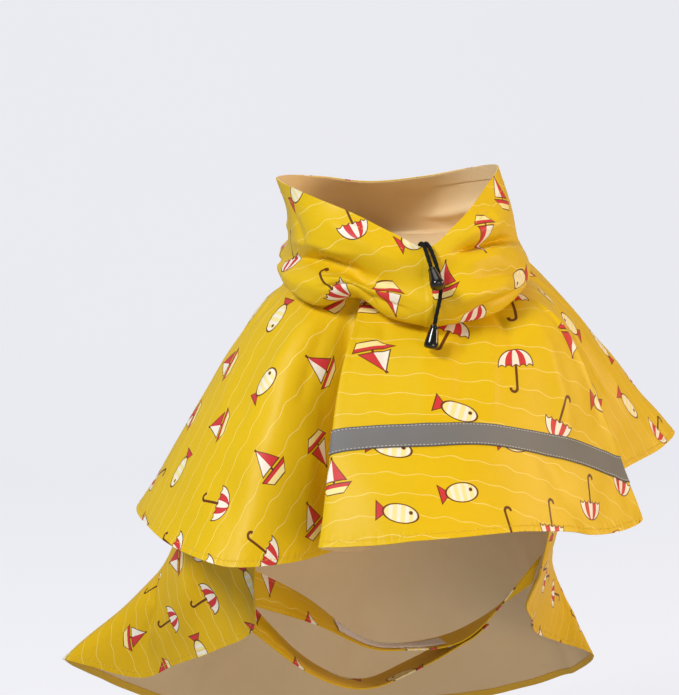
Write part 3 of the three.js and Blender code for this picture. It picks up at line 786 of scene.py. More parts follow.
def print_group():
    """Colour of the printed cloth from its flat coordinates in metres: wavy lines and small motifs."""
    tree, source, target = new_group(
        "Rain print",
        [("Flat", "NodeSocketVector", None), ("Ground", "NodeSocketColor", srgb("#F2C42C"))],
        [("Color", "NodeSocketColor"), ("Ink", "NodeSocketFloat")],
    )
    split = tree.nodes.new("ShaderNodeSeparateXYZ")
    tree.links.new(source.outputs["Flat"], split.inputs[0])
    u = Term(tree, split.outputs[0]) * 1000.0
    v = Term(tree, split.outputs[1]) * 1000.0

    spacing, wavelength = 21.5, 29.0
    sway = (u * (math.tau / wavelength) + (v * 0.05).math("SINE") * 3.0).math("SINE") * 1.05
    sway = sway + (u * (math.tau / 53.0) + v * 0.11).math("SINE") * 0.8
    row = ((v + sway) / spacing).math("FRACT") - 0.5
    line = (row.math("ABSOLUTE") * spacing - 0.36).inside(0.3)
    colour = mix_colour(tree, line * 0.66, source.outputs["Ground"], PALE_LINE)

    wide, tall = 62.0, 84.0
    column = (u / wide).math("FLOOR")
    drop = v + column.math("MODULO", 2.0).math("ABSOLUTE") * (tall / 2)
    level = (drop / tall).math("FLOOR")
    cell = tree.nodes.new("ShaderNodeCombineXYZ")
    tree.links.new(column.socket, cell.inputs[0])
    tree.links.new(level.socket, cell.inputs[1])
    cell.inputs[2].default_value = 3.7
    noise = tree.nodes.new("ShaderNodeTexWhiteNoise")
    noise.noise_dimensions = "3D"
    tree.links.new(cell.outputs[0], noise.inputs["Vector"])
    kinds = Term(tree, noise.outputs["Value"])
    chance = tree.nodes.new("ShaderNodeSeparateColor")
    tree.links.new(noise.outputs["Color"], chance.inputs[0])
    shift_x, shift_y, spin = (Term(tree, chance.outputs[i]) - 0.5 for i in range(3))
    a = u - (column + 0.5) * wide - shift_x * 12.0
    b = drop - (level + 0.5) * tall - shift_y * 26.0
    flip = (spin * 37.0).math("FRACT").math("ABSOLUTE").math("GREATER_THAN", 0.5)
    angle = spin * 0.7 + flip * math.pi
    c, s = angle.math("COSINE"), angle.math("SINE")
    x, y = (a * c + b * s) / MOTIF_SCALE, (b * c - a * s) / MOTIF_SCALE

    canopy, gore, stick = umbrella(x, y - 3.0)
    hull, sail, mast = boat(x, y)
    body, tail, eye = fish(x, y)
    is_umbrella = kinds.math("LESS_THAN", 0.36)
    is_boat = kinds.math("LESS_THAN", 0.7) - is_umbrella
    is_fish = kinds.math("GREATER_THAN", 0.7)

    outline = 0.5
    parts = [
        (is_umbrella, stick, PRINT_INK, None),
        (is_umbrella, canopy, PRINT_WHITE, (gore, PRINT_RED)),
        (is_boat, mast, PRINT_INK, None),
        (is_boat, sail, PRINT_WHITE, (x.math("LESS_THAN", 0.0), PRINT_RED)),
        (is_boat, hull, PRINT_CREAM, (y.math("GREATER_THAN", -7.5), PRINT_RED)),
        (is_fish, tail, PRINT_RED, None),
        (is_fish, body, PRINT_CREAM, ((x / 7.0).math("FRACT").math("LESS_THAN", 0.45), PRINT_WHITE)),
        (is_fish, eye, PRINT_INK, None),
    ]
    ink = None
    for chosen, distance, fill, second in parts:
        inner = fill if second is None else mix_colour(tree, second[0], fill, second[1])
        edge = (distance - outline).inside() * chosen
        colour = mix_colour(tree, edge, colour, PRINT_INK)
        colour = mix_colour(tree, (distance + outline).inside() * chosen, colour, inner)
        ink = edge if ink is None else ink.math("MAXIMUM", edge)
    tree.links.new(colour, target.inputs["Color"])
    tree.links.new(ink.socket, target.inputs["Ink"])
    return tree


def weave_group():
    """Height of a plain weave over flat coordinates in metres, with a slow handling rumple."""
    tree, source, target = new_group(
        "Cloth weave",
        [("Flat", "NodeSocketVector", None), ("Thread", "NodeSocketFloat", 0.45)],
        [("Height", "NodeSocketFloat"), ("Rumple", "NodeSocketFloat"), ("Wear", "NodeSocketFloat")],
    )
    split = tree.nodes.new("ShaderNodeSeparateXYZ")
    tree.links.new(source.outputs["Flat"], split.inputs[0])
    thread = Term(tree, source.outputs["Thread"])
    warp = (Term(tree, split.outputs[0]) * (1000.0 * math.pi) / thread).math("SINE").math("ABSOLUTE")
    weft = (Term(tree, split.outputs[1]) * (1000.0 * math.pi) / thread).math("SINE").math("ABSOLUTE")
    tree.links.new((warp * weft).socket, target.inputs["Height"])
    for title, scale, detail, rough in (("Rumple", 42.0, 4.0, 0.55), ("Wear", 9.0, 5.0, 0.6)):
        noise = tree.nodes.new("ShaderNodeTexNoise")
        noise.inputs["Scale"].default_value = scale
        noise.inputs["Detail"].default_value = detail
        noise.inputs["Roughness"].default_value = rough
        tree.links.new(source.outputs["Flat"], noise.inputs["Vector"])
        tree.links.new(noise.outputs["Fac"], target.inputs[title])
    return tree


def seam_group():
    """Height and painted shade of a turned and stitched hem, from the distance to the cloth's edge in metres; the
    shade is a dashed dark line painted along the stitch groove.
    """
    tree, source, target = new_group(
        "Sewn hem",
        [("Edge", "NodeSocketVector", None), ("Margin", "NodeSocketFloat", 6.0)],
        [("Height", "NodeSocketFloat"), ("Shade", "NodeSocketFloat")],
    )
    split = tree.nodes.new("ShaderNodeSeparateXYZ")
    tree.links.new(source.outputs["Edge"], split.inputs[0])
    run = Term(tree, split.outputs[0]) * 1000.0
    depth = Term(tree, split.outputs[1]) * 1000.0
    margin = Term(tree, source.outputs["Margin"])
    off = (depth - margin).math("ABSOLUTE")
    groove = (off - 0.5).inside(0.8)
    turned = (depth - margin).inside(0.6)
    noise = tree.nodes.new("ShaderNodeTexNoise")
    noise.noise_dimensions = "1D"
    noise.inputs["Scale"].default_value = 0.16
    noise.inputs["Detail"].default_value = 3.0
    tree.links.new(run.socket, noise.inputs["W"])
    pucker = (Term(tree, noise.outputs["Fac"]) - 0.5) * (off - 5.0).inside(4.5)
    height = turned * 0.3 - groove * 0.28 + pucker * 1.6
    tree.links.new(height.socket, target.inputs["Height"])
    # Painted shade: the stitch groove is darkened in dashes at the stitch length
    dashes = (run * (math.tau / 4.3)).math("SINE") * 0.5 + 0.5
    tree.links.new((groove * dashes * 0.14).socket, target.inputs["Shade"])
    return tree


# ---------------------------------------------------------------- materials

def new_material(name):
    material = bpy.data.materials.new(name)
    material.use_nodes = True
    tree = material.node_tree
    return material, tree, tree.nodes["Principled BSDF"]


def use_group(tree, group):
    node = tree.nodes.new("ShaderNodeGroup")
    node.node_tree = group
    return node


def flat_map(tree, title):
    node = tree.nodes.new("ShaderNodeUVMap")
    node.uv_map = title
    return node.outputs[0]


def bump(tree, height, distance, strength=1.0, normal=None):
    node = tree.nodes.new("ShaderNodeBump")
    node.inputs["Strength"].default_value = strength
    node.inputs["Distance"].default_value = distance * MM
    tree.links.new(height, node.inputs["Height"])
    if normal is not None:
        tree.links.new(normal, node.inputs["Normal"])
    return node.outputs[0]


def between(tree, value, low, high):
    """A value from 0..1 spread from low to high."""
    node = tree.nodes.new("ShaderNodeMapRange")
    node.inputs["To Min"].default_value = low
    node.inputs["To Max"].default_value = high
    tree.links.new(value, node.inputs["Value"])
    return node.outputs[0]


def rain_cloth(name, groups, ground, margin=6.0):
    """Coated cloth with the print on its face."""
    material, tree, shader = new_material(name)
    flat = flat_map(tree, "cut")
    printed = use_group(tree, groups["print"])
    printed.inputs["Ground"].default_value = ground
    weave = use_group(tree, groups["weave"])
    seam = use_group(tree, groups["seam"])
    seam.inputs["Margin"].default_value = margin
    tree.links.new(flat, printed.inputs["Flat"])
    tree.links.new(flat, weave.inputs["Flat"])
    tree.links.new(flat_map(tree, "edge"), seam.inputs["Edge"])
    tone = between(tree, weave.outputs["Wear"], 0.9, 1.06)
    grey = tree.nodes.new("ShaderNodeCombineColor")
    for socket in grey.inputs[:3]:
        tree.links.new(tone, socket)
    colour = mix_colour(tree, 1.0, printed.outputs["Color"], grey.outputs[0], "MULTIPLY")
    # Painted shade of the hem's stitch groove, mixed towards a dark orange
    shade = Term(tree, seam.outputs["Shade"])
    colour = mix_colour(tree, shade, colour, srgb("#B97A08"))
    tree.links.new(colour, shader.inputs["Base Color"])
    tree.links.new(between(tree, weave.outputs["Wear"], 0.5, 0.34), shader.inputs["Roughness"])
    shader.inputs["Specular IOR Level"].default_value = 0.2
    normal = bump(tree, weave.outputs["Rumple"], 1.5, 0.5)
    normal = bump(tree, seam.outputs["Height"], 0.9, 0.8, normal)
    normal = bump(tree, weave.outputs["Height"], 0.05, 0.35, normal)
    tree.links.new(normal, shader.inputs["Normal"])
    return material


def wrong_side(groups):
    """Uncoated beige side of the cloth."""
    material, tree, shader = new_material("Cloth wrong side")
    flat = flat_map(tree, "cut")
    weave = use_group(tree, groups["weave"])
    weave.inputs["Thread"].default_value = 0.6
    tree.links.new(flat, weave.inputs["Flat"])
    colour = mix_colour(tree, Term(tree, weave.outputs["Wear"]), srgb("#E6C99A"), srgb("#F1D9B0"))
    tree.links.new(colour, shader.inputs["Base Color"])
    shader.inputs["Roughness"].default_value = 0.78
    shader.inputs["Specular IOR Level"].default_value = 0.25
    normal = bump(tree, weave.outputs["Rumple"], 1.5, 0.6)
    tree.links.new(bump(tree, weave.outputs["Height"], 0.12, 0.6, normal), shader.inputs["Normal"])
    return material


def plain_cloth(name, groups, colour, thread=0.5):
    """Unprinted bands and turnings."""
    material, tree, shader = new_material(name)
    flat = flat_map(tree, "cut")
    weave = use_group(tree, groups["weave"])
    weave.inputs["Thread"].default_value = thread
    tree.links.new(flat, weave.inputs["Flat"])
    low = tuple(c * 0.86 for c in colour[:3]) + (1.0,)
    tree.links.new(mix_colour(tree, Term(tree, weave.outputs["Wear"]), low, colour), shader.inputs["Base Color"])
    shader.inputs["Roughness"].default_value = 0.55
    tree.links.new(bump(tree, weave.outputs["Height"], 0.1, 0.5), shader.inputs["Normal"])
    return material


def reflective_grey(groups):
    """Retroreflective woven tape: grey, with fine ribs and a darker woven border."""
    material, tree, shader = new_material("Reflective tape")
    split = tree.nodes.new("ShaderNodeSeparateXYZ")
    tree.links.new(flat_map(tree, "cut"), split.inputs[0])
    run = Term(tree, split.outputs[0]) * 1000.0
    side = Term(tree, split.outputs[1]) * 1000.0
    border = (-side.math("ABSOLUTE") + (TAPE_WIDTH / 2 - 0.8)).inside(0.3)
    weave = use_group(tree, groups["weave"])
    tree.links.new(flat_map(tree, "cut"), weave.inputs["Flat"])
    tone = mix_colour(tree, Term(tree, weave.outputs["Wear"]), srgb("#6B6B6C"), srgb("#7F7F80"))
    colour = mix_colour(tree, border, tone, srgb("#565656"))
    tree.links.new(colour, shader.inputs["Base Color"])
    shader.inputs["Metallic"].default_value = 0.05
    shader.inputs["Roughness"].default_value = 0.62
    shader.inputs["Specular IOR Level"].default_value = 0.3
    ribs = (run * (math.tau / 1.1)).math("SINE") * 0.5 + (side * (math.tau / 0.9)).math("SINE") * 0.5
    normal = bump(tree, ribs.socket, 0.06, 0.5)
    tree.links.new(bump(tree, weave.outputs["Rumple"], 0.8, 0.4, normal), shader.inputs["Normal"])
    return material


def thread_material(name, colour):
    """Sewing thread, twisted."""
    material, tree, shader = new_material(name)
    place = tree.nodes.new("ShaderNodeTexCoord")
    noise = tree.nodes.new("ShaderNodeTexNoise")
    noise.inputs["Scale"].default_value = 900.0
    tree.links.new(place.outputs["Object"], noise.inputs["Vector"])
    low = tuple(c * 0.7 for c in colour[:3]) + (1.0,)
    tree.links.new(mix_colour(tree, Term(tree, noise.outputs["Fac"]), low, colour), shader.inputs["Base Color"])
    shader.inputs["Roughness"].default_value = 0.6
    tree.links.new(bump(tree, noise.outputs["Fac"], 0.15, 0.5), shader.inputs["Normal"])
    return material


def pile_material(name, colour, size):
    """Hook-and-loop face: a dense fuzz of loops or rows of hooks."""
    material, tree, shader = new_material(name)
    place = tree.nodes.new("ShaderNodeTexCoord")
    cells = tree.nodes.new("ShaderNodeTexVoronoi")
    cells.inputs["Scale"].default_value = size
    tree.links.new(place.outputs["Object"], cells.inputs["Vector"])
    noise = tree.nodes.new("ShaderNodeTexNoise")
    noise.inputs["Scale"].default_value = 260.0
    noise.inputs["Detail"].default_value = 4.0
    tree.links.new(place.outputs["Object"], noise.inputs["Vector"])
    low = tuple(c * 0.72 for c in colour[:3]) + (1.0,)
    tree.links.new(mix_colour(tree, Term(tree, noise.outputs["Fac"]), low, colour), shader.inputs["Base Color"])
    shader.inputs["Roughness"].default_value = 0.95
    shader.inputs["Sheen Weight"].default_value = 0.4
    normal = bump(tree, cells.outputs["Distance"], 0.6, 0.7)
    tree.links.new(bump(tree, noise.outputs["Fac"], 0.5, 0.6, normal), shader.inputs["Normal"])
    return material


def braid_material():
    """Black braided cord."""
    material, tree, shader = new_material("Braided cord")
    place = tree.nodes.new("ShaderNodeTexCoord")
    noise = tree.nodes.new("ShaderNodeTexNoise")
    noise.inputs["Scale"].default_value = 700.0
    noise.inputs["Detail"].default_value = 3.0
    tree.links.new(place.outputs["Object"], noise.inputs["Vector"])
    colour = mix_colour(tree, Term(tree, noise.outputs["Fac"]), srgb("#040405"), srgb("#141417"))
    tree.links.new(colour, shader.inputs["Base Color"])
    shader.inputs["Roughness"].default_value = 0.75
    shader.inputs["Specular IOR Level"].default_value = 0.2
    tree.links.new(bump(tree, noise.outputs["Fac"], 0.2, 0.6), shader.inputs["Normal"])
    return material


def bell_material():
    """Glossy moulded black plastic with slight flow marks."""
    material, tree, shader = new_material("Bell plastic")
    place = tree.nodes.new("ShaderNodeTexCoord")
    noise = tree.nodes.new("ShaderNodeTexNoise")
    noise.inputs["Scale"].default_value = 120.0
    noise.inputs["Detail"].default_value = 2.0
    tree.links.new(place.outputs["Object"], noise.inputs["Vector"])
    colour = mix_colour(tree, Term(tree, noise.outputs["Fac"]), srgb("#050506"), srgb("#101013"))
    tree.links.new(colour, shader.inputs["Base Color"])
    tree.links.new(between(tree, noise.outputs["Fac"], 0.12, 0.26), shader.inputs["Roughness"])
    shader.inputs["Coat Weight"].default_value = 0.4
    tree.links.new(bump(tree, noise.outputs["Fac"], 0.1, 0.15), shader.inputs["Normal"])
    return material


def backdrop_material():
    """Pale seamless paper."""
    material, tree, shader = new_material("Backdrop paper")
    place = tree.nodes.new("ShaderNodeTexCoord")
    noise = tree.nodes.new("ShaderNodeTexNoise")
    noise.inputs["Scale"].default_value = 2.0
    tree.links.new(place.outputs["Object"], noise.inputs["Vector"])
    colour = mix_colour(tree, Term(tree, noise.outputs["Fac"]), srgb("#707176"), srgb("#74757A"))
    tree.links.new(colour, shader.inputs["Base Color"])
    shader.inputs["Roughness"].default_value = 0.95
    shader.inputs["Specular IOR Level"].default_value = 0.1
    shader.inputs["Emission Color"].default_value = srgb("#F0F1F7")
    rays = tree.nodes.new("ShaderNodeLightPath")
    glow = between(tree, rays.outputs["Is Camera Ray"], 0.3, 0.845)
    tree.links.new(glow, shader.inputs["Emission Strength"])
    return material


def make_materials():
    groups = {"print": print_group(), "weave": weave_group(), "seam": seam_group()}
    return {
        "print": rain_cloth("Printed rain cloth", groups, srgb("#E4BE15")),
        # The under tier and the belly bands get a slightly darker, more orange ground than the cape: painted shade
        # for the cloth that hangs beneath the cape
        "under": rain_cloth("Printed rain cloth under tier", groups, srgb("#E0B613")),
        "hood": rain_cloth("Printed hood cloth", groups, srgb("#E4BE15"), -40.0),
        "wrong": wrong_side(groups),
        "turning": plain_cloth("Hem turning", groups, srgb("#EDBE2A")),
        "tape": reflective_grey(groups),
        "white_thread": thread_material("White thread", srgb("#F2F2F0")),
        "yellow_thread": thread_material("Yellow thread", srgb("#F4CF45")),
        "loop": pile_material("Loop pile", srgb("#EAE4F0"), 420.0),
        "hook": pile_material("Hook tape", srgb("#DAD3E6"), 620.0),
        "cord": braid_material(),
        "bell": bell_material(),
    }


# ---------------------------------------------------------------- pieces

def settle_piece(piece, slot, *nodes):
    """Every piece rides on the one body, and may stand for CAD nodes."""
    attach(piece, "root")
    if nodes:
        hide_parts(*nodes)
    return piece


def make_camera():
    data = bpy.data.cameras.new("Camera")
    data.lens = LENS
    data.sensor_width = 36
    data.clip_start, data.clip_end = 0.05, 40
    camera = bpy.data.objects.new("Camera", data)
    bpy.context.scene.collection.objects.link(camera)
    camera.location = EYE
    look = Vector(TARGET) - Vector(EYE)
    camera.rotation_mode = "QUATERNION"
    camera.rotation_quaternion = look.to_track_quat("-Z", "Y")
    bpy.context.scene.camera = camera


def make_cords(kit):
    for name, route in CORDS.items():
        path = spline(np.array(route, float), np.linspace(0, 1, 90))
        ahead = path[-1] - path[-2]
        ahead /= np.linalg.norm(ahead)
        braid = tube(f"braid_{name}", path, CORD_DIAMETER / 2, 18, kit["cord"], weave=0.16)
        settle_piece(braid, "cord", f"cord_{name}")
        profile = [(radius, share * BELL_LENGTH) for radius, share in BELL_PROFILE]
        cup = lathe(f"cord_end_{name}", profile, 48, path[-1] + ahead * SEAM_GAP, ahead, kit["bell"])
        settle_piece(cup, "bell", f"bell_{name}")
        (path * MM).tolist()


def cape_surface(detail):
    falls = []
    for neck, shoulder, hem, _ in CAPE:
        turn = neck + (hem[0] - neck) / 3
        falls.append([neck_point(neck), at(turn, *shoulder), at(*hem)])
    return Surface(falls, True, int(520 * detail), int(80 * detail))


def make_cape(kit, settings):
    surface = cape_surface(settings.detail)
    flat = circular_cut(surface, 88, -math.pi)
    for *places, width, depth in CAPE_CREASES:
        surface.crease(places, width, depth * settings.creases)
    surface.rumple(flat, settings.rumple, settings.seed)
    surface.settle()
    cape = cloth_shell("cape_cloth", surface, flat, [kit["print"], kit["wrong"]], thinned=CAPE_THINNED)
    settle_piece(cape, "rain_cloth", "cape")
    around = np.linspace(0, surface.spans, 2200)
    hem = edge_share(surface, around, 6.0)
    row = stitch_row("cape_hem_stitches", surface, around, hem, kit["yellow_thread"])
    settle_piece(row, "rain_cloth")
    return surface


def edge_share(surface, around, margin):
    """Share of the fall that lies a margin above the hem."""
    fall = lengths(surface.base.swapaxes(0, 1))[:, -1]
    return 1 - margin / np.interp(around, surface.alongs, fall)


def tape_middle(along):
    rows = [(index, row[3], 0.0) for index, row in enumerate(CAPE) if row[3]]
    curve = np.array(rows, float)
    share = (np.asarray(along, float) - rows[0][0]) / (len(rows) - 1)
    return spline(curve, share)[:, 1]


def make_tape(kit, surface):
    rows = [index for index, row in enumerate(CAPE) if row[3]]
    along = np.linspace(rows[0], rows[-1], 260)
    middle = tape_middle(along)
    half = TAPE_WIDTH / TAPE_FALL / 2
    sides = np.linspace(-half, half, 9)

    def layer(height):
        return np.stack([surface.read(along, middle + side, height) for side in sides])

    run = lengths(surface.read(along, middle))
    flat = np.stack(np.broadcast_arrays(run[None, :], (sides * TAPE_FALL)[:, None]), axis=-1) * MM
    top, under = layer(SEAM_GAP + 0.7), layer(SEAM_GAP)
    tape = shell("reflective_strip", top, under, False, {"cut": flat}, [kit["tape"]] * 2)
    settle_piece(tape, "reflective_tape", "reflective_tape")
    rows = []
    inset = half - 1.9 / TAPE_FALL
    for name, side in (("upper", -inset), ("lower", inset)):
        row = stitch_row(
            f"tape_stitches_{name}", surface, along, middle + side, kit["white_thread"],
            height=SEAM_GAP + 0.75, length=2.4, gap=1.3, radius=0.3)
        rows.append(settle_piece(row, "reflective_tape"))


def body_surface(detail):
    inset = (CLOTH + 2 * SEAM_GAP) * math.sqrt(0.5)
    falls = []
    for neck, shoulder, waist, hem in BODY:
        turn = neck + (waist[0] - neck) / 2
        falls.append([neck_point(neck, inset, -inset), at(turn, *shoulder), at(*waist), at(*hem)])
    return Surface(falls, False, int(420 * detail), int(100 * detail))


def make_body(kit, settings):
    surface = body_surface(settings.detail)
    flat = circular_cut(surface, 88, math.pi)
    for *places, width, depth in BODY_CREASES:
        surface.crease(places, width, depth * settings.creases)
    surface.rumple(flat, settings.rumple, settings.seed + 1)
    surface.settle()
    body = cloth_shell("body_cloth", surface, flat, [kit["under"], kit["wrong"]])
    settle_piece(body, "rain_cloth", "body_panel")
    along = np.linspace(0, surface.spans, 400)
    sides = np.linspace(0.982, 0.9985, 4)
    outer = np.stack([surface.read(along, np.full(400, side), -SHOWN_CLOTH - 0.2) for side in sides])
    inner = np.stack([surface.read(along, np.full(400, side), -SHOWN_CLOTH - 0.9) for side in sides])
    cut = np.stack(np.broadcast_arrays(lengths(outer[0])[None, :], (sides * 500)[:, None]), axis=-1) * MM
    fold = shell("body_hem_fold", outer, inner, False, {"cut": cut}, [kit["turning"]] * 2)
    settle_piece(fold, "rain_cloth", "body_hem_turning")
    fine = np.linspace(0.02, surface.spans - 0.02, 2400)
    row = stitch_row("body_hem_stitches", surface, fine, edge_share(surface, fine, 8.0), kit["yellow_thread"])
    settle_piece(row, "rain_cloth")
    width = float(np.ptp(flat[..., 0]))
    return surface


def hood_falls():
    falls = []
    for turn, *sections in HOOD:
        falls.append([at(turn, *section) for section in sections] + [neck_point(turn, 0, HOOD_LIFT)])
    return falls


def make_hood(kit, settings):
    halves = {
        "right": (HOOD_SEAM, HOOD_CHIN - HOOD_SEAM, -36),
        "left": (HOOD_CHIN + HOOD_SEAM, len(HOOD) - HOOD_SEAM, 22),
    }
    whole = Surface(hood_falls(), True, int(420 * settings.detail), int(150 * settings.detail))
    for *places, width, depth in HOOD_CREASES:
        whole.crease(places, width, depth * settings.creases)
    whole.settle()
    for side, (first, last, turn) in halves.items():
        surface = whole.part(first, last, int(200 * settings.detail))
        if side == "right":
            surface.points += surface.normals * (smooth(surface.alongs, *LAP) * LAP_RAISE)[None, :, None]
        flat = straight_cut(surface, turn)
        piece = cloth_shell(f"hood_cloth_{side}", surface, flat, [kit["hood"], kit["wrong"]])
        settle_piece(piece, "rain_cloth", f"hood_{side}")
        along = np.linspace(first, last, 200)
        sides = np.linspace(0.002, CHANNEL_FALL, 15)
        outer = np.stack([surface.read(along, np.full(200, s), -SHOWN_CLOTH - 0.2) for s in sides])
        inner = np.stack([surface.read(along, np.full(200, s), -SHOWN_CLOTH - 0.9) for s in sides])
        run = lengths(outer[0])
        cut = np.stack(np.broadcast_arrays(run[None, :], (sides * 200)[:, None]), axis=-1) * MM
        fold = shell(f"hood_channel_fold_{side}", outer, inner, False, {"cut": cut}, [kit["wrong"]] * 2)
        settle_piece(fold, "rain_cloth", f"hood_channel_{side}")
        fine = np.linspace(first + 0.02, last - 0.02, 700)
        row = stitch_row(
            f"hood_channel_stitches_{side}", surface, fine, np.full(700, CHANNEL_FALL), kit["yellow_thread"])
        rows = [settle_piece(row, "rain_cloth")]
        if side == "right":
            for name, place in LAP_STITCHES.items():
                row = stitch_row(
                    f"hood_lap_stitches_{name}", surface, np.full(90, place), np.linspace(0.01, 0.4, 90),
                    kit["yellow_thread"])
                rows.append(settle_piece(row, "rain_cloth"))
        area = area_of(surface.base) * 1e-6


def area_of(grid):
    across = grid[:-1, 1:] - grid[:-1, :-1]
    down = grid[1:, :-1] - grid[:-1, :-1]
    return float(np.linalg.norm(np.cross(across, down), axis=-1).sum())


def strap_end(body, place):
    along, low, high = place
    points = []
    side = 0.05
    for step in range(STRAP_LINES + 1):
        down = low + (high - low) * step / STRAP_LINES
        across = body.read(along + side, down, base=True) - body.read(along - side, down, base=True)
        fall = body.read(along, down, base=True) - body.read(along, down - side, base=True)
        normal = np.cross(fall, across)
        normal /= np.linalg.norm(normal)
        points.append(body.read(along, down, base=True) - normal * (CLOTH + STITCH_GAP))
    return points


def strap_section(x, y, z, tilt):
    angle = math.radians(tilt)
    shares = np.linspace(-0.5, 0.5, STRAP_LINES + 1)
    return [(x, y + STRAP_WIDTH * s * math.cos(angle), z + STRAP_WIDTH * s * math.sin(angle)) for s in shares]


def strap_lines(sections):
    """Coarse columns of a band, as the CAD solid has them: one line of points for each edge line."""
    lines = np.array(sections, float).swapaxes(0, 1)
    return spline(lines, np.linspace(0, 1, STRAP_STEPS + 1))


def refined(grid, columns, rows):
    wide = spline(grid, np.linspace(0, 1, columns))
    return spline(wide.swapaxes(0, 1), np.linspace(0, 1, rows)).swapaxes(0, 1)


def band_piece(name, grid, height, thickness, materials):
    """A band of a given thickness that stands a height off its line grid."""
    fine = refined(grid, 180, 13)
    low, high = moved(fine, height), moved(fine, height + thickness)
    run = lengths(fine[6])
    side = lengths(fine.swapaxes(0, 1)).swapaxes(0, 1)
    cut = np.stack(np.broadcast_arrays(run[None, :], side), axis=-1) * MM
    return shell(name, high, low, False, {"cut": cut, "edge": cut}, materials), fine, run


def make_straps(kit, body):
    front = strap_lines([
        strap_end(body, STRAP_FRONT["start"]),
        *[strap_section(*section) for section in STRAP_FRONT["sections"]],
        strap_end(body, STRAP_FRONT["end"]),
    ])
    under = moved(front, CLOTH + TAPE_THICK + 2 * TAPE_GAP)
    low, high = STRAP_REAR["closes"]
    rear = strap_lines([
        strap_end(body, STRAP_REAR["start"]),
        *[strap_section(*section) for section in STRAP_REAR["sections"]],
        under[:, low],
    ])
    rear = np.concatenate([rear, under[:, low + 1:high + 1]], axis=1)
    for name, grid, tape, spec in (
        ("front", front, "loop", STRAP_FRONT["tape"]),
        ("rear", rear, "hook", STRAP_REAR["tape"]),
    ):
        band, fine, run = band_piece(f"belly_band_{name}", grid, 0, 1.4, [kit["under"], kit["under"]])
        settle_piece(band, "rain_cloth", f"belly_strap_{name}")
        inset = (1 - TAPE_ON_STRAP / STRAP_WIDTH) / 2
        part = grid[:, spec[0]:spec[1] + 1]
        shares = np.linspace(inset, 1 - inset, 4)[:, None, None]
        lines = part[0][None] * (1 - shares) + part[-1][None] * shares
        pile, _, length = band_piece(f"{tape}_pile", lines, -TAPE_GAP - TAPE_THICK, TAPE_THICK, [kit[tape]] * 2)
        settle_piece(pile, "hook_and_loop", f"{tape}_tape")
        for edge, line in (("near", 1), ("far", 11)):
            normals = grid_normals(fine, False)
            for face, height, sign in (("out", 1.42, 1), ("in", -0.02, -1)):
                row = stitches(
                    f"band_stitches_{name}_{edge}_{face}", fine[line] + normals[line] * height,
                    normals[line] * sign, kit["yellow_thread"], radius=0.28)
                settle_piece(row, "rain_cloth")


def make_stage():
    """A seamless sweep of paper, soft lights and a pale room."""
    width, floor, back, bend, top = 14.0, -0.62, 5.0, 1.8, 7.0
    line = [(-9.0, floor), (back - bend, floor)]
    for i in range(1, 25):
        angle = math.radians(90 * i / 24)
        line.append((back - bend + bend * math.sin(angle), floor + bend - bend * math.cos(angle)))
    line.append((back, top))
    points = [(x, y, z) for y, z in line for x in (-width / 2, width / 2)]
    faces = [(2 * i, 2 * i + 1, 2 * i + 3, 2 * i + 2) for i in range(len(line) - 1)]
    sweep = mesh_object("backdrop_sweep", np.array(points) / MM, faces, [backdrop_material()])
    for name, (place, size, power, colour) in LIGHTS.items():
        data = bpy.data.lights.new(name, "AREA")
        data.shape = "DISK"
        data.size = size
        data.energy = power
        data.color = srgb(colour)[:3]
        lamp = bpy.data.objects.new(name, data)
        bpy.context.scene.collection.objects.link(lamp)
        lamp.location = place
        look = Vector((0, 0, -0.15)) - Vector(place)
        lamp.rotation_mode = "QUATERNION"
        lamp.rotation_quaternion = look.to_track_quat("-Z", "Y")
    world = bpy.data.worlds.new("Room")
    world.use_nodes = True
    background = world.node_tree.nodes["Background"]
    background.inputs["Color"].default_value = srgb("#F2F3F6")
    background.inputs["Strength"].default_value = ROOM_LIGHT
    scene = bpy.context.scene
    scene.world = world
    scene.view_settings.view_transform = "Standard"
    scene.view_settings.look = "None"
    scene.view_settings.exposure = 0.0


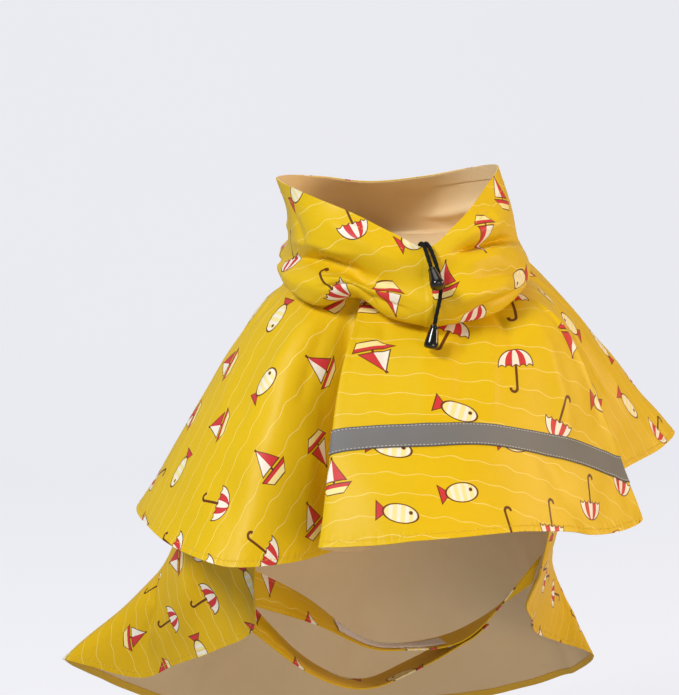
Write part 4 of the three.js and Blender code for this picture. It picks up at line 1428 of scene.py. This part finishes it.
# ---------------------------------------------------------------- add-on

class RaincoatSettings(bpy.types.PropertyGroup):
    """Sizes that a user may change before the raincoat is built."""

    detail: FloatProperty(
        name="Detail", description="Share of the full mesh density", default=1.0, min=0.2, max=1.0)
    creases: FloatProperty(name="Creases", description="Depth of the listed folds", default=1.0, min=0, max=2)
    rumple: FloatProperty(
        name="Rumple", description="Height of slow swells in the cloth, in millimetres", default=0.7)
    seed: IntProperty(name="Seed", description="Which set of swells is used", default=4)


class RAINCOAT_OT_build(bpy.types.Operator):
    """Build the cloth, trim and cords of the raincoat"""

    bl_idname = "raincoat.build"
    bl_label = "Build Raincoat"

    def execute(self, context):
        settings = context.scene.raincoat
        kit = make_materials()
        make_cords(kit)
        cape = make_cape(kit, settings)
        make_tape(kit, cape)
        body = make_body(kit, settings)
        make_hood(kit, settings)
        make_straps(kit, body)
        return {"FINISHED"}


class RAINCOAT_OT_stage(bpy.types.Operator):
    """Set the backdrop and the lights"""

    bl_idname = "raincoat.stage"
    bl_label = "Set Stage"

    def execute(self, context):
        make_stage()
        return {"FINISHED"}


class RAINCOAT_PT_panel(bpy.types.Panel):
    """Raincoat settings in the sidebar"""

    bl_label = "Raincoat"
    bl_idname = "RAINCOAT_PT_panel"
    bl_space_type = "VIEW_3D"
    bl_region_type = "UI"
    bl_category = "Raincoat"

    def draw(self, context):
        settings = context.scene.raincoat
        for name in ("detail", "creases", "rumple", "seed"):
            self.layout.prop(settings, name)
        self.layout.operator("raincoat.build")
        self.layout.operator("raincoat.stage")


CLASSES = (RaincoatSettings, RAINCOAT_OT_build, RAINCOAT_OT_stage, RAINCOAT_PT_panel)


def register():
    for cls in CLASSES:
        bpy.utils.register_class(cls)
    bpy.types.Scene.raincoat = PointerProperty(type=RaincoatSettings)


def unregister():
    del bpy.types.Scene.raincoat
    for cls in reversed(CLASSES):
        bpy.utils.unregister_class(cls)


def main():
    register()
    make_camera()
    bpy.ops.raincoat.build()
    bpy.ops.raincoat.stage()


if __name__ == "__main__":
    main()
